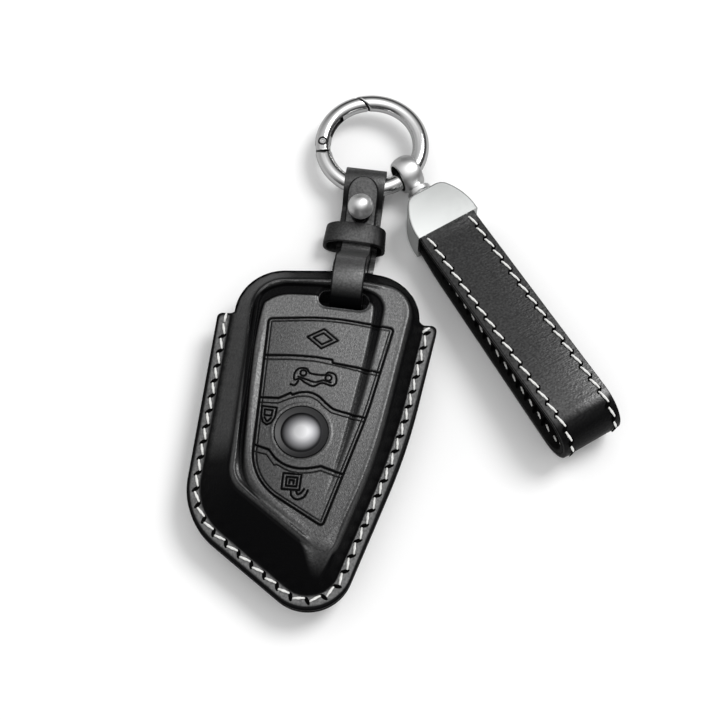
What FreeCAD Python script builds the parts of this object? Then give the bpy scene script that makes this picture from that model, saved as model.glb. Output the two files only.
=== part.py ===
import FreeCAD, Part
import math
import os
from FreeCAD import Placement, Rotation
from FreeCAD import Vector as V

# A key fob cover: moulded leather case, connector strap, spring-gate ring and wrist strap.
# The cover lies on its back on z = 0, its mouth and strap towards +Y.

doc = FreeCAD.newDocument("key_fob_cover")
sheet = doc.addObject("Spreadsheet::Sheet", "sizes")
SIZES = {
    # case outline at the seam, seen from the front
    "case_left": 23.3,
    "case_right": 26.5,
    "case_top_left": 37.6,
    "case_top_right": 40.0,
    "crown_x": 6.0,
    "crown_rise": 1.2,
    "case_corner": 13.5,
    "bow_x": 21.6,
    "bow_y": -4.0,
    "bow_round": 150.0,
    "crown_round": 25.0,
    "tip_x": 9.7,
    "tip_y": -47.9,
    "tip_round": 7.5,
    "heel_y": -26.9,
    "heel_round": 15.0,
    # case thickness
    "seam_height": 7.5,
    "front_height": 16.5,
    "leather": 1.5,
    "lining": 0.6,
    "rim_round": 0.7,
    # slope of the front walls, as insets of the raised rim from the seam outline
    "rim_left": 6.4,
    "rim_top": 6.0,
    "rim_right": 3.7,
    "rim_bow": 2.7,
    "rim_lower": 10.1,
    "rim_corner": 7.0,
    "rim_tip_round": 3.0,
    "rear_inset": 4.0,
    # sewing flange
    "flange_width": 3.4,
    "tab_left": 25.2,
    "tab_right": 28.6,
    "tab_round": 1.4,
    "stitch_offset": 1.1,
    "stitch_pitch": 4.0,
    "stitch_length": 2.9,
    "thread_width": 0.9,
    "thread_rise": 0.4,
    "thread_top": 0.5,
    # mouth, slot, channel and badge
    "mouth_front": 10.2,
    "mouth_rear": 4.2,
    "mouth_start": 29.2,
    "slot_x": 4.8,
    "slot_y": 29.6,
    "slot_length": 12.6,
    "slot_width": 5.2,
    "slot_round": 2.3,
    "channel_depth": 0.6,
    "channel_gap": 0.4,
    "channel_width": 2.0,
    "channel_top": 3.4,
    "channel_tip": 0.3,
    "channel_tip_round": 0.08,
    "channel_end_left": -14.0,
    "crease_x": 14.6,
    "crease_end_x": 7.2,
    "crease_end_y": -22.0,
    "badge_x": -0.6,
    "badge_y": -6.2,
    "badge_size": 13.2,
    "badge_sink": 0.7,
    "badge_rise": 0.5,
    "badge_gap": 0.15,
    # connector strap
    "strap_x": 5.2,
    "strap_thick": 1.5,
    "strap_wide": 10.5,
    "tongue_wide": 7.9,
    "layer_gap": 0.1,
    "bar_y": 35.6,
    "bar_z": 12.0,
    "bar_loop": 5.9,
    "strap_drop": 60.0,
    "strap_ease": 4.0,
    "step_ease": 3.5,
    "wrap_climb": 60.0,
    "wrap_ease": 3.0,
    "wrap_gap": 0.05,
    "tongue_climb": 31.5,
    "tongue_tip": 11.2,
    "tail_gap": 1.6,
    "step_end": 42.2,
    "keeper_drop": 6.1,
    "keeper_wide": 5.6,
    "keeper_thick": 1.0,
    "keeper_gap": 0.1,
    "keeper_side": 1.0,
    "keeper_round": 1.5,
    "stud_y": 58.4,
    "stud_ball": 6.7,
    "stud_neck": 2.8,
    "stud_base": 3.4,
    "stud_lip": 0.6,
    "stud_rise": 6.9,
    "stud_hole": 5.0,
    "screw_shank": 2.0,
    "screw_head": 5.6,
    "screw_sink": 0.8,
    "screw_bite": 3.0,
    # ring and gate
    "ring_x": 5.4,
    "ring_y": 79.6,
    "ring_z": 5.6,
    "ring_radius": 13.0,
    "ring_tube": 4.3,
    "gate_pin_angle": 186.0,
    "gate_heel_angle": 198.0,
    "ring_heel_angle": 205.0,
    "gate_reach": 16.0,
    "nose_start": 75.0,
    "nose_end": 30.0,
    "gate_gap": 0.2,
    "lug_thick": 1.6,
    "lug_round": 1.8,
    "lug_root": 4.0,
    "pin_size": 1.2,
    "pin_gap": 0.04,
    "spring_wire": 0.7,
    "spring_sweep": 30.0,
    "spring_room": 4.0,
    # swivel eye, end cap and wrist strap
    "eye_angle": -35.0,
    "eye_inset": 0.35,
    "eye_size": 10.0,
    "eye_flat": 5.6,
    "eye_waist": 2.75,
    "eye_mouth": 3.6,
    "wrist_angle": -52.0,
    "neck_size": 4.2,
    "collar_start": 5.6,
    "collar_size": 6.4,
    "collar_length": 1.5,
    "shank_size": 3.2,
    "shank_gap": 0.05,
    "head_size": 5.0,
    "head_thick": 1.0,
    "cap_start": 8.4,
    "cap_length": 11.6,
    "cap_width": 17.8,
    "cap_height": 11.0,
    "cap_wall": 1.4,
    "cap_end_wall": 2.6,
    "cap_shoulder": 5.6,
    "cap_bow": 11.0,
    "cap_inner_bow": 3.0,
    "cap_nose": 10.0,
    "cap_edge": 1.2,
    "band_wide": 16.2,
    "band_layer": 1.2,
    "band_start": 16.2,
    "band_run": 55.0,
    "band_rise": 6.0,
    "band_ease": 40.0,
    "band_settle": 20.0,
    "band_gap": 0.05,
    "band_floor_gap": 0.1,
    "band_side_gap": 0.1,
    "band_stitch_inset": 1.9,
    "band_stitch_pitch": 3.9,
}
for row, (alias, value) in enumerate(SIZES.items(), 1):
    sheet.set(f"A{row}", alias)
    sheet.set(f"B{row}", str(value))
    sheet.setAlias(f"B{row}", alias)
doc.recompute()


def size(alias):
    return float(sheet.get(alias))


def sine(angle):
    return math.sin(math.radians(angle))


def cosine(angle):
    return math.cos(math.radians(angle))


def polar(radius, angle):
    return V(radius * cosine(angle), radius * sine(angle), 0)


# Outline helpers


def rounded(corners):
    """Closed chain of lines and tangent arcs round the given (x, y, radius) corners."""
    cuts = []
    for i, (x, y, radius) in enumerate(corners):
        here = V(x, y, 0)
        back = (V(*corners[i - 1][:2], 0) - here).normalize()
        ahead = (V(*corners[(i + 1) % len(corners)][:2], 0) - here).normalize()
        half = back.getAngle(ahead) / 2
        reach = radius / math.tan(half)
        centre = here + (back + ahead).normalize() * (radius / math.sin(half))
        middle = centre + (here - centre).normalize() * radius
        cuts.append((here + back * reach, middle, here + ahead * reach))
    curves = []
    for i, (start, middle, end) in enumerate(cuts):
        curves.append(Part.Arc(start, middle, end))
        curves.append(Part.LineSegment(end, cuts[(i + 1) % len(cuts)][0]))
    return curves


def grown(corners, amount):
    """The corners of a convex outline moved outward by an even amount."""
    moved = []
    for i, (x, y, radius) in enumerate(corners):
        here = V(x, y, 0)
        back = (V(*corners[i - 1][:2], 0) - here).normalize()
        ahead = (V(*corners[(i + 1) % len(corners)][:2], 0) - here).normalize()
        half = back.getAngle(ahead) / 2
        at = here - (back + ahead).normalize() * (amount / math.sin(half))
        moved.append((at.x, at.y, radius + amount))
    return moved


def advance(at, angle, reach, turn, share=1):
    """The point and heading after a share of a move.

    A move is (length, 0) for a line or (radius, turn in degrees, positive to the left) for an arc.
    """
    if turn == 0:
        return at + polar(reach * share, angle), angle
    radius = math.copysign(reach, turn)
    centre = at + polar(radius, angle + 90)
    ahead = angle + turn * share
    return centre - polar(radius, ahead + 90), ahead


def ribbon(start, heading, moves, low, high):
    """Closed outline of a strip between two offsets to the left of a path of moves."""
    at, angle = V(start[0], start[1], 0), heading
    sides = {low: [], high: []}
    for reach, turn in moves:
        stops = [advance(at, angle, reach, turn, share) for share in (0, 0.5, 1)]
        for offset, side in sides.items():
            points = [point + polar(offset, ahead + 90) for point, ahead in stops]
            curve = Part.Arc(*points) if turn else Part.LineSegment(points[0], points[2])
            side.append(curve)
        at, angle = stops[2]
    first, last = sides[low], sides[high]
    ends = [
        Part.LineSegment(first[0].StartPoint, last[0].StartPoint),
        Part.LineSegment(first[-1].EndPoint, last[-1].EndPoint),
    ]
    return first + last + ends


# Document helpers


def new_body(label):
    body = doc.addObject("PartDesign::Body", label)
    body.Label = label
    return body


def plane(body, role):
    return next(f for f in body.Origin.OriginFeatures if f.Role == role)


def sketch(body, name, role, curves, height=None):
    drawn = body.newObject("Sketcher::SketchObject", name)
    drawn.AttachmentSupport = [(plane(body, role), "")]
    drawn.MapMode = "FlatFace"
    if height:
        drawn.setExpression("AttachmentOffset.Base.z", height)
    drawn.addGeometry(curves, False)
    return drawn


def feature(body, kind, name, profile, **settings):
    made = body.newObject("PartDesign::" + kind, name)
    made.Profile = profile
    bound = settings.pop("bound", {})
    for key, value in settings.items():
        setattr(made, key, value)
    for key, expression in bound.items():
        made.setExpression(key, expression)
    profile.Visibility = False
    doc.recompute()
    return made


def pad(body, name, profile, length, **settings):
    return feature(body, "Pad", name, profile, bound={"Length": length}, **settings)


def pocket(body, name, profile, length, **settings):
    before = body.Shape.Volume
    made = feature(body, "Pocket", name, profile, bound={"Length": length}, **settings)
    if not body.Shape.Volume < before:
        raise ValueError(name + " cuts nothing")
    return made


def loft(body, kind, name, levels):
    """A ruled loft through outlines given as (curves, height expression)."""
    drawn = [sketch(body, f"{name}_{i}", "XY_Plane", *level) for i, level in enumerate(levels)]
    return feature(body, kind, name, drawn[0], Sections=drawn[1:], Ruled=True)


def revolve(body, name, profile, axis="V_Axis", kind="Revolution", angle=360.0):
    return feature(body, kind, name, profile, ReferenceAxis=(profile, [axis]), Angle=angle)


def polygon(points):
    corners = [V(x, y, 0) for x, y in points]
    return [Part.LineSegment(a, b) for a, b in zip(corners, corners[1:] + corners[:1])]


def circle(centre, radius):
    return Part.Circle(V(centre[0], centre[1], 0), V(0, 0, 1), radius)


def place(body, x="0", y="0", z="0", turn=None):
    for axis, expression in zip("xyz", (x, y, z)):
        body.setExpression("Placement.Base." + axis, expression)
    if turn:
        body.setExpression("Placement.Rotation.Angle", turn)
    doc.recompute()


# Case outlines

SEAM = [
    (-size("case_left"), size("case_top_left"), size("case_corner")),
    (-size("case_left"), size("heel_y"), size("heel_round")),
    (size("tip_x"), size("tip_y"), size("tip_round")),
    (size("bow_x"), size("bow_y"), size("bow_round")),
    (size("case_right"), size("case_top_right"), size("case_corner")),
    (size("crown_x"), size("case_top_right") + size("crown_rise"), size("crown_round")),
]


def rim_outline():
    """The raised rim: each side of the seam outline moved in by its own inset."""
    left, top = size("rim_left"), size("rim_top")
    right, lower = size("rim_right"), size("rim_lower")
    insets = [left, lower, size("rim_bow"), right, top, top]
    lines = []
    for i, inset in enumerate(insets):
        a = V(*SEAM[i][:2], 0)
        b = V(*SEAM[(i + 1) % len(SEAM)][:2], 0)
        along = (b - a).normalize()
        inward = V(-along.y, along.x, 0)
        lines.append((a + inward * inset, along))
    radii = ["rim_corner", "rim_corner", "rim_tip_round", "bow_round", "rim_corner", "crown_round"]
    corners = []
    for i, name in enumerate(radii):
        (p, d), (q, e) = lines[i - 1], lines[i]
        reach = ((q - p).cross(e)).z / (d.cross(e)).z
        at = p + d * reach
        corners.append((at.x, at.y, size(name)))
    return corners


RIM = rim_outline()


def side_at(start, end, y):
    """The x of the outline's side between two corners at a given y."""
    share = (y - start[1]) / (end[1] - start[1])
    return start[0] + (end[0] - start[0]) * share


def flange_outline():
    outer = grown(SEAM, size("flange_width"))
    left = (outer[0][0], size("tab_left"), size("tab_round"))
    right_x = side_at(outer[3], outer[4], size("tab_right"))
    right = (right_x, size("tab_right"), size("tab_round"))
    return [left] + outer[1:4] + [right]


# Case


def mouth_cut(body, up):
    """Clears the seam's height from the mouth, between the two shells."""
    far = 2 * size("case_top_right")
    near = size("mouth_start")
    outline = polygon([(-far, near), (far, near), (far, far), (-far, far)])
    drawn = sketch(body, "mouth_outline", "XY_Plane", outline, "sizes.seam_height")
    depth = "sizes.mouth_front - sizes.seam_height" if up else "sizes.seam_height - sizes.mouth_rear"
    pocket(body, "mouth", drawn, depth, Reversed=up)


def front_levels(skin):
    """Sections of the front's surface, moved inward by a skin thickness and its name."""
    amount = sum(size(name) for name in skin)
    down = "".join(" - sizes." + name for name in skin)
    fair = size("rim_round")
    return [
        (rounded(grown(SEAM, -amount)), "sizes.seam_height"),
        (rounded(grown(SEAM, -amount)), "sizes.seam_height + sizes.leather"),
        (rounded(grown(RIM, fair - amount)), "sizes.front_height - sizes.rim_round" + down),
        (rounded(grown(RIM, -amount)), "sizes.front_height" + down),
    ]


def rear_levels(skin):
    amount = sum(size(name) for name in skin)
    up = ["sizes." + name for name in skin]
    inset = size("rear_inset")
    fair = size("rim_round")
    return [
        (rounded(grown(SEAM, -amount)), "sizes.seam_height"),
        (rounded(grown(SEAM, -amount)), "sizes.seam_height - sizes.leather"),
        (rounded(grown(SEAM, fair - inset - amount)), " + ".join(["sizes.rim_round"] + up)),
        (rounded(grown(SEAM, -inset - amount)), " + ".join(up)),
    ]


def slot_outline():
    half_x, half_y = size("slot_length") / 2, size("slot_width") / 2
    x, y, radius = size("slot_x"), size("slot_y"), size("slot_round")
    return rounded(
        [
            (x - half_x, y + half_y, radius),
            (x - half_x, y - half_y, radius),
            (x + half_x, y - half_y, radius),
            (x + half_x, y + half_y, radius),
        ]
    )


def channel_outline():
    """The moulded channel: up the left side, across the top and down the right, fading out."""
    outer = grown(RIM, -size("channel_gap"))
    left, top = outer[0][:2]
    wide, band = size("channel_width"), size("channel_top")
    right = size("crease_x")
    sharp = size("channel_tip_round")
    start = (left + size("channel_tip"), size("channel_end_left"), sharp)
    end = (size("crease_end_x"), size("crease_end_y"), sharp)
    return rounded(
        [
            start,
            (left + wide, top - band, size("rim_corner") - wide),
            (right - wide, top - band / 2, band),
            end,
            (right, top + band / 2, size("rim_corner") - wide),
            (left, top, outer[0][2]),
        ]
    )


def front_shell():
    body = new_body("front_shell")
    flange = sketch(body, "flange_outline", "XY_Plane", rounded(flange_outline()), "sizes.seam_height")
    pad(body, "flange", flange, "sizes.leather")
    loft(body, "AdditiveLoft", "skin", front_levels([]))
    loft(body, "SubtractiveLoft", "hollow", front_levels(["leather"]))
    mouth_cut(body, up=True)
    drawn = sketch(body, "channel_outline", "XY_Plane", channel_outline(), "sizes.front_height")
    pocket(body, "channel", drawn, "sizes.channel_depth")
    drawn = sketch(body, "slot_outline", "XY_Plane", slot_outline(), "sizes.front_height")
    pocket(body, "slot", drawn, "2 * sizes.leather")
    seat = circle((size("badge_x"), size("badge_y")), size("badge_size") / 2)
    drawn = sketch(body, "badge_outline", "XY_Plane", [seat], "sizes.front_height")
    pocket(body, "badge_seat", drawn, "sizes.badge_sink")
    return body


def rear_shell():
    body = new_body("rear_shell")
    flange = sketch(body, "flange_outline", "XY_Plane", rounded(flange_outline()), "sizes.seam_height")
    pad(body, "flange", flange, "sizes.leather", Reversed=True)
    loft(body, "AdditiveLoft", "skin", rear_levels([]))
    loft(body, "SubtractiveLoft", "hollow", rear_levels(["leather"]))
    mouth_cut(body, up=False)
    return body


def front_lining():
    body = new_body("front_lining")
    loft(body, "AdditiveLoft", "skin", front_levels(["leather"]))
    loft(body, "SubtractiveLoft", "hollow", front_levels(["leather", "lining"]))
    mouth_cut(body, up=True)
    drawn = sketch(body, "slot_outline", "XY_Plane", slot_outline(), "sizes.front_height")
    pocket(body, "slot", drawn, "3 * sizes.leather")
    return body


def rear_lining():
    body = new_body("rear_lining")
    loft(body, "AdditiveLoft", "skin", rear_levels(["leather"]))
    loft(body, "SubtractiveLoft", "hollow", rear_levels(["leather", "lining"]))
    mouth_cut(body, up=False)
    return body


def badge_disc():
    body = new_body("badge_disc")
    radius = size("badge_size") / 2 - size("badge_gap")
    edge, rise = size("badge_sink"), size("badge_rise")
    bulge = (radius**2 + rise**2) / (2 * rise)
    middle = polar(bulge, 90 - math.degrees(math.asin(radius / bulge)) / 2)
    middle += V(0, edge + rise - bulge, 0)
    dome = Part.Arc(V(radius, edge, 0), middle, V(0, edge + rise, 0))
    outline = [dome] + [
        Part.LineSegment(V(0, edge + rise, 0), V(0, 0, 0)),
        Part.LineSegment(V(0, 0, 0), V(radius, 0, 0)),
        Part.LineSegment(V(radius, 0, 0), V(radius, edge, 0)),
    ]
    revolve(body, "disc", sketch(body, "disc_outline", "XZ_Plane", outline))
    place(body, "sizes.badge_x", "sizes.badge_y", "sizes.front_height - sizes.badge_sink")
    return body


# Stitching


def thread(at, along, across, up, length):
    """One straight stitch with sloping sides, lying flat on the leather."""
    half, crest = across * (size("thread_width") / 2), across * (size("thread_top") / 2)
    start = at - along * (length / 2)
    top = start + up * size("thread_rise")
    section = Part.makePolygon([start - half, top - crest, top + crest, start + half, start - half])
    return Part.Face(section).extrude(along * length)


def group(label, solids):
    made = doc.addObject("Part::Feature", label)
    made.Label = label
    made.Shape = Part.makeCompound(solids)
    return made


def case_stitching():
    line = grown(SEAM, size("stitch_offset"))
    inset = size("stitch_pitch") / 2
    left = (line[0][0], size("tab_left") - inset, size("thread_rise"))
    right_y = size("tab_right") - inset
    right = (side_at(line[3], line[4], right_y), right_y, size("thread_rise"))
    curves = rounded([left] + line[1:4] + [right])[1:8]
    seam = Part.Wire([curve.toShape() for curve in curves])
    points = seam.discretize(Number=round(seam.Length / size("stitch_pitch")) + 1)
    solids = []
    for start, end in zip(points, points[1:]):
        along = (end - start).normalize()
        across = V(-along.y, along.x, 0)
        for side in (1, -1):
            up = V(0, 0, side)
            at = (start + end) / 2 + V(0, 0, size("seam_height") + side * size("leather"))
            solids.append(thread(at, along, across * side, up, size("stitch_length")))
    return group("case_stitching", solids)


# Connector strap: heights of its stacked layers and the path of its middle

THICK = size("strap_thick")
REACH = size("strap_wide") / 2 + abs(size("ring_x") - size("strap_x"))
NEAR = size("ring_radius") + size("ring_tube") / 2
FAR = math.sqrt((size("ring_radius") - size("ring_tube") / 2) ** 2 - REACH**2)
WRAP = (NEAR - FAR) / 2 + size("wrap_gap") + THICK / 2
WRAP_Y = size("ring_y") - (NEAR + FAR) / 2
REAR_Z = size("ring_z") - WRAP
TAIL_Z = REAR_Z + THICK + size("layer_gap")
TONGUE_Z = TAIL_Z + THICK + size("layer_gap")
LOOP = size("bar_loop") + THICK / 2
STEP = size("step_ease")
STEP_TURN = math.degrees(math.acos(1 - (size("bar_z") - LOOP - REAR_Z) / (2 * STEP)))
STEP_Y = size("step_end") + 2 * STEP * sine(STEP_TURN)
TAIL_Y = STEP_Y + size("tail_gap")


def wide_run():
    """From the tail's end along the top, round the ring and back below, up to the mouth."""
    climb, ease = size("wrap_climb"), size("wrap_ease")
    drop = TAIL_Z + ease - size("ring_z")
    bend_y = WRAP_Y - (WRAP + ease - drop * cosine(climb)) / sine(climb)
    across = WRAP_Y - bend_y - (WRAP + ease) * sine(climb)
    rise = (WRAP + ease) * cosine(climb) - drop
    line = across * cosine(climb) + rise * sine(climb)
    moves = [
        (bend_y - TAIL_Y, 0),
        (ease, climb),
        (line, 0),
        (WRAP, -180 - climb),
        (WRAP_Y - STEP_Y, 0),
        (STEP, -STEP_TURN),
        (STEP, STEP_TURN),
    ]
    return ribbon((TAIL_Y, TAIL_Z), 0, moves, -THICK / 2, THICK / 2)


def tongue_start():
    """Where the flat tongue starts to climb so that it clears the leather round the ring."""
    climb, ease = size("tongue_climb"), size("strap_ease")
    clear = WRAP + THICK + size("layer_gap")
    height = TONGUE_Z + ease * (1 - cosine(climb)) - size("ring_z")
    return WRAP_Y - ease * sine(climb) - (clear - height * cosine(climb)) / sine(climb)


def narrow_run():
    """From the mouth round the case's bar, down through the keeper to the tongue's climb."""
    drop, ease = size("strap_drop"), size("strap_ease")
    fall = size("bar_z") - TONGUE_Z - ease
    flat_y = size("bar_y") + (LOOP + ease + fall * cosine(drop)) / sine(drop)
    across = flat_y - size("bar_y") - (LOOP + ease) * sine(drop)
    line = across * cosine(drop) + (fall + (LOOP + ease) * cosine(drop)) * sine(drop)
    moves = [
        (size("step_end") - size("bar_y"), 0),
        (LOOP, -180 - drop),
        (line, 0),
        (ease, drop),
        (tongue_start() - flat_y, 0),
        (ease, size("tongue_climb")),
    ]
    return ribbon((size("step_end"), size("bar_z") - LOOP), 180, moves, -THICK / 2, THICK / 2)


def tongue_end():
    half, length = size("tongue_wide") / 2, size("tongue_tip")
    straight = length - half
    return [
        Part.LineSegment(V(-half, straight, 0), V(-half, 0, 0)),
        Part.LineSegment(V(-half, 0, 0), V(half, 0, 0)),
        Part.LineSegment(V(half, 0, 0), V(half, straight, 0)),
        Part.Arc(V(half, straight, 0), V(0, length, 0), V(-half, straight, 0)),
    ]


def connector_strap():
    body = new_body("connector_strap")
    drawn = sketch(body, "wide_outline", "YZ_Plane", wide_run())
    pad(body, "wide", drawn, "sizes.strap_wide", Midplane=True)
    drawn = sketch(body, "narrow_outline", "YZ_Plane", narrow_run())
    pad(body, "narrow", drawn, "sizes.tongue_wide", Midplane=True)
    climb, ease = size("tongue_climb"), size("strap_ease")
    start = V(0, tongue_start() + ease * sine(climb), TONGUE_Z + ease * (1 - cosine(climb)))
    drawn = sketch(body, "tongue_outline", "XY_Plane", tongue_end())
    drawn.AttachmentOffset = Placement(start, Rotation(V(1, 0, 0), climb))
    pad(body, "tongue", drawn, "sizes.strap_thick", Midplane=True)
    top = TAIL_Z + THICK / 2
    drawn = sketch(body, "button_outline", "XY_Plane", [circle((0, size("stud_y")), size("stud_hole") / 2)])
    drawn.AttachmentOffset = Placement(V(0, 0, top + size("layer_gap") / 2), Rotation())
    pocket(body, "button_hole", drawn, "2 * sizes.strap_ease", Reversed=True)
    hole = size("screw_shank") / 2 + size("shank_gap")
    drawn = sketch(body, "screw_outline", "XY_Plane", [circle((0, size("stud_y")), hole)])
    drawn.AttachmentOffset = Placement(V(0, 0, top + size("layer_gap") / 2), Rotation())
    pocket(body, "screw_hole", drawn, "3 * sizes.strap_thick")
    place(body, "sizes.strap_x")
    return body


def strap_keeper():
    body = new_body("strap_keeper")
    gap, wall = size("keeper_gap"), size("keeper_thick")
    half = size("strap_wide") / 2 + size("keeper_side")
    low, high = REAR_Z - THICK / 2 - gap, TONGUE_Z + THICK / 2 + gap
    radius = size("keeper_round")
    inner = [(-half, high, radius), (-half, low, radius), (half, low, radius), (half, high, radius)]
    outline = rounded(grown(inner, wall)) + rounded(inner)
    drawn = sketch(body, "band_outline", "XZ_Plane", outline, "-(sizes.stud_y - sizes.keeper_drop)")
    pad(body, "band", drawn, "sizes.keeper_wide", Midplane=True)
    place(body, "sizes.strap_x")
    return body


def stud_knob():
    body = new_body("stud_knob")
    ball, neck = size("stud_ball") / 2, size("stud_neck") / 2
    base, lip, rise = size("stud_base") / 2, size("stud_lip"), size("stud_rise")
    bore = size("screw_shank") / 2 + size("pin_gap")
    depth = size("screw_bite") + size("pin_gap")
    low = rise - math.sqrt(ball**2 - neck**2)
    lines = [(0, depth), (bore, depth), (bore, 0), (base, 0), (base, lip), (neck, lip), (neck, low)]
    points = [V(x, y, 0) for x, y in lines]
    outline = [Part.LineSegment(a, b) for a, b in zip(points, points[1:])]
    outline.append(Part.Arc(points[-1], V(ball, rise, 0), V(0, rise + ball, 0)))
    outline.append(Part.LineSegment(V(0, rise + ball, 0), points[0]))
    revolve(body, "knob", sketch(body, "knob_outline", "XZ_Plane", outline))
    place(body, "sizes.strap_x", "sizes.stud_y", f"{TAIL_Z + THICK / 2}")
    return body


def stud_screw():
    body = new_body("stud_screw")
    shank, head = size("screw_shank") / 2, size("screw_head") / 2
    sink = size("screw_sink")
    length = 2 * THICK + size("layer_gap") + size("screw_bite")
    outline = polygon([(0, -sink), (head, -sink), (head, 0), (shank, 0), (shank, length), (0, length)])
    revolve(body, "screw", sketch(body, "screw_outline", "XZ_Plane", outline))
    place(body, "sizes.strap_x", "sizes.stud_y", f"{REAR_Z - THICK / 2}")
    return body


# Ring and gate, drawn round the ring's centre

RING = size("ring_radius")
TUBE = size("ring_tube") / 2
PIN = polar(RING, size("gate_pin_angle"))
LUG_END = size("ring_heel_angle") + size("lug_root")
SPRING_RADIUS = RING - TUBE / 2
SPRING_SEAT = size("lug_round") + 3 * size("gate_gap")
SPRING_START = size("gate_pin_angle") - math.degrees(SPRING_SEAT / SPRING_RADIUS)
SPRING_END = SPRING_START - size("spring_sweep")


def gate_window(reach, heel):
    """The gate's part of the ring seen from above; its nose is an arc about the hinge pin."""
    first, last = size("nose_start"), size("nose_end")
    start, middle, end = (PIN + polar(reach, angle) for angle in (first, (first + last) / 2, last))
    inside, outside = polar(RING / 2, heel), polar(2 * RING, heel)
    nose = math.degrees(math.atan2(start.y, start.x))
    corner = polar(2 * RING, (heel + nose) / 2)
    lines = [end, inside, outside, corner, start]
    return [Part.Arc(start, middle, end)] + [Part.LineSegment(a, b) for a, b in zip(lines, lines[1:])]


def torus(body):
    tube = circle((RING, 0), TUBE)
    revolve(body, "tube", sketch(body, "tube_outline", "XZ_Plane", [tube]))


def pin_hole(body):
    hole = circle(PIN, size("pin_size") / 2 + size("pin_gap"))
    drawn = sketch(body, "pin_outline", "XY_Plane", [hole])
    pocket(body, "pin_hole", drawn, "2 * sizes.ring_tube", Midplane=True)


def sector(inner, outer, start, end):
    """Part of a flat ring between two radii and two angles."""
    middle = (start + end) / 2
    return [
        Part.Arc(polar(inner, start), polar(inner, middle), polar(inner, end)),
        Part.LineSegment(polar(inner, end), polar(outer, end)),
        Part.Arc(polar(outer, end), polar(outer, middle), polar(outer, start)),
        Part.LineSegment(polar(outer, start), polar(inner, start)),
    ]


def place_on_ring(body, turn=None):
    place(body, "sizes.ring_x", "sizes.ring_y", "sizes.ring_z", turn)


def ring_body():
    body = new_body("ring_body")
    torus(body)
    window = gate_window(size("gate_reach") + size("gate_gap"), size("ring_heel_angle"))
    drawn = sketch(body, "gate_outline", "XY_Plane", window)
    pocket(body, "gate_gap", drawn, "2 * sizes.ring_tube", Midplane=True)
    lug = size("lug_round")
    plate = sector(RING - lug, RING + lug, size("gate_pin_angle"), LUG_END)
    drawn = sketch(body, "lug_outline", "XY_Plane", plate)
    pad(body, "lug", drawn, "sizes.lug_thick", Midplane=True)
    drawn = sketch(body, "lug_end_outline", "XY_Plane", [circle(PIN, lug)])
    pad(body, "lug_end", drawn, "sizes.lug_thick", Midplane=True)
    pin_hole(body)
    place_on_ring(body)
    return body


def ring_gate():
    body = new_body("ring_gate")
    torus(body)
    window = gate_window(size("gate_reach"), size("gate_heel_angle"))
    far = 3 * RING
    frame = polygon([(-far, -far), (far, -far), (far, far), (-far, far)])
    drawn = sketch(body, "gate_outline", "XY_Plane", frame + window)
    pocket(body, "ring_rest", drawn, "2 * sizes.ring_tube", Midplane=True)
    lug = size("lug_round") + size("gate_gap")
    slot = "sizes.lug_thick + sizes.gate_gap"
    drawn = sketch(body, "fork_end_outline", "XY_Plane", [circle(PIN, lug)])
    pocket(body, "fork_end", drawn, slot, Midplane=True)
    fork = sector(RING - 2 * lug, RING + 2 * lug, size("gate_pin_angle"), LUG_END)
    drawn = sketch(body, "fork_outline", "XY_Plane", fork)
    pocket(body, "fork", drawn, slot, Midplane=True)
    pin_hole(body)
    seat = SPRING_RADIUS + size("spring_wire") / 2
    end = SPRING_END - size("spring_room")
    groove = sector(RING - 2 * TUBE, seat, end, size("gate_pin_angle"))
    drawn = sketch(body, "spring_outline", "XY_Plane", groove)
    pocket(body, "spring_slot", drawn, "sizes.spring_wire + sizes.gate_gap", Midplane=True)
    place_on_ring(body)
    return body


def gate_pin():
    body = new_body("gate_pin")
    drawn = sketch(body, "pin_outline", "XY_Plane", [circle(PIN, size("pin_size") / 2)])
    pad(body, "pin", drawn, "sizes.ring_tube - sizes.gate_gap", Midplane=True)
    place_on_ring(body)
    return body


def gate_spring():
    body = new_body("gate_spring")
    wire = circle((SPRING_RADIUS, 0), size("spring_wire") / 2)
    drawn = sketch(body, "wire_outline", "XZ_Plane", [wire])
    revolve(body, "wire", drawn, angle=size("spring_sweep"))
    place_on_ring(body, f"{SPRING_END}")
    return body


# Swivel eye, end cap and wrist strap, drawn along +X from the eye's centre

EYE = polar(RING - size("eye_inset"), size("eye_angle"))


def place_on_wrist(body):
    x, y = f"sizes.ring_x + {EYE.x}", f"sizes.ring_y + {EYE.y}"
    place(body, x, y, "sizes.ring_z", "sizes.wrist_angle")


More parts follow.
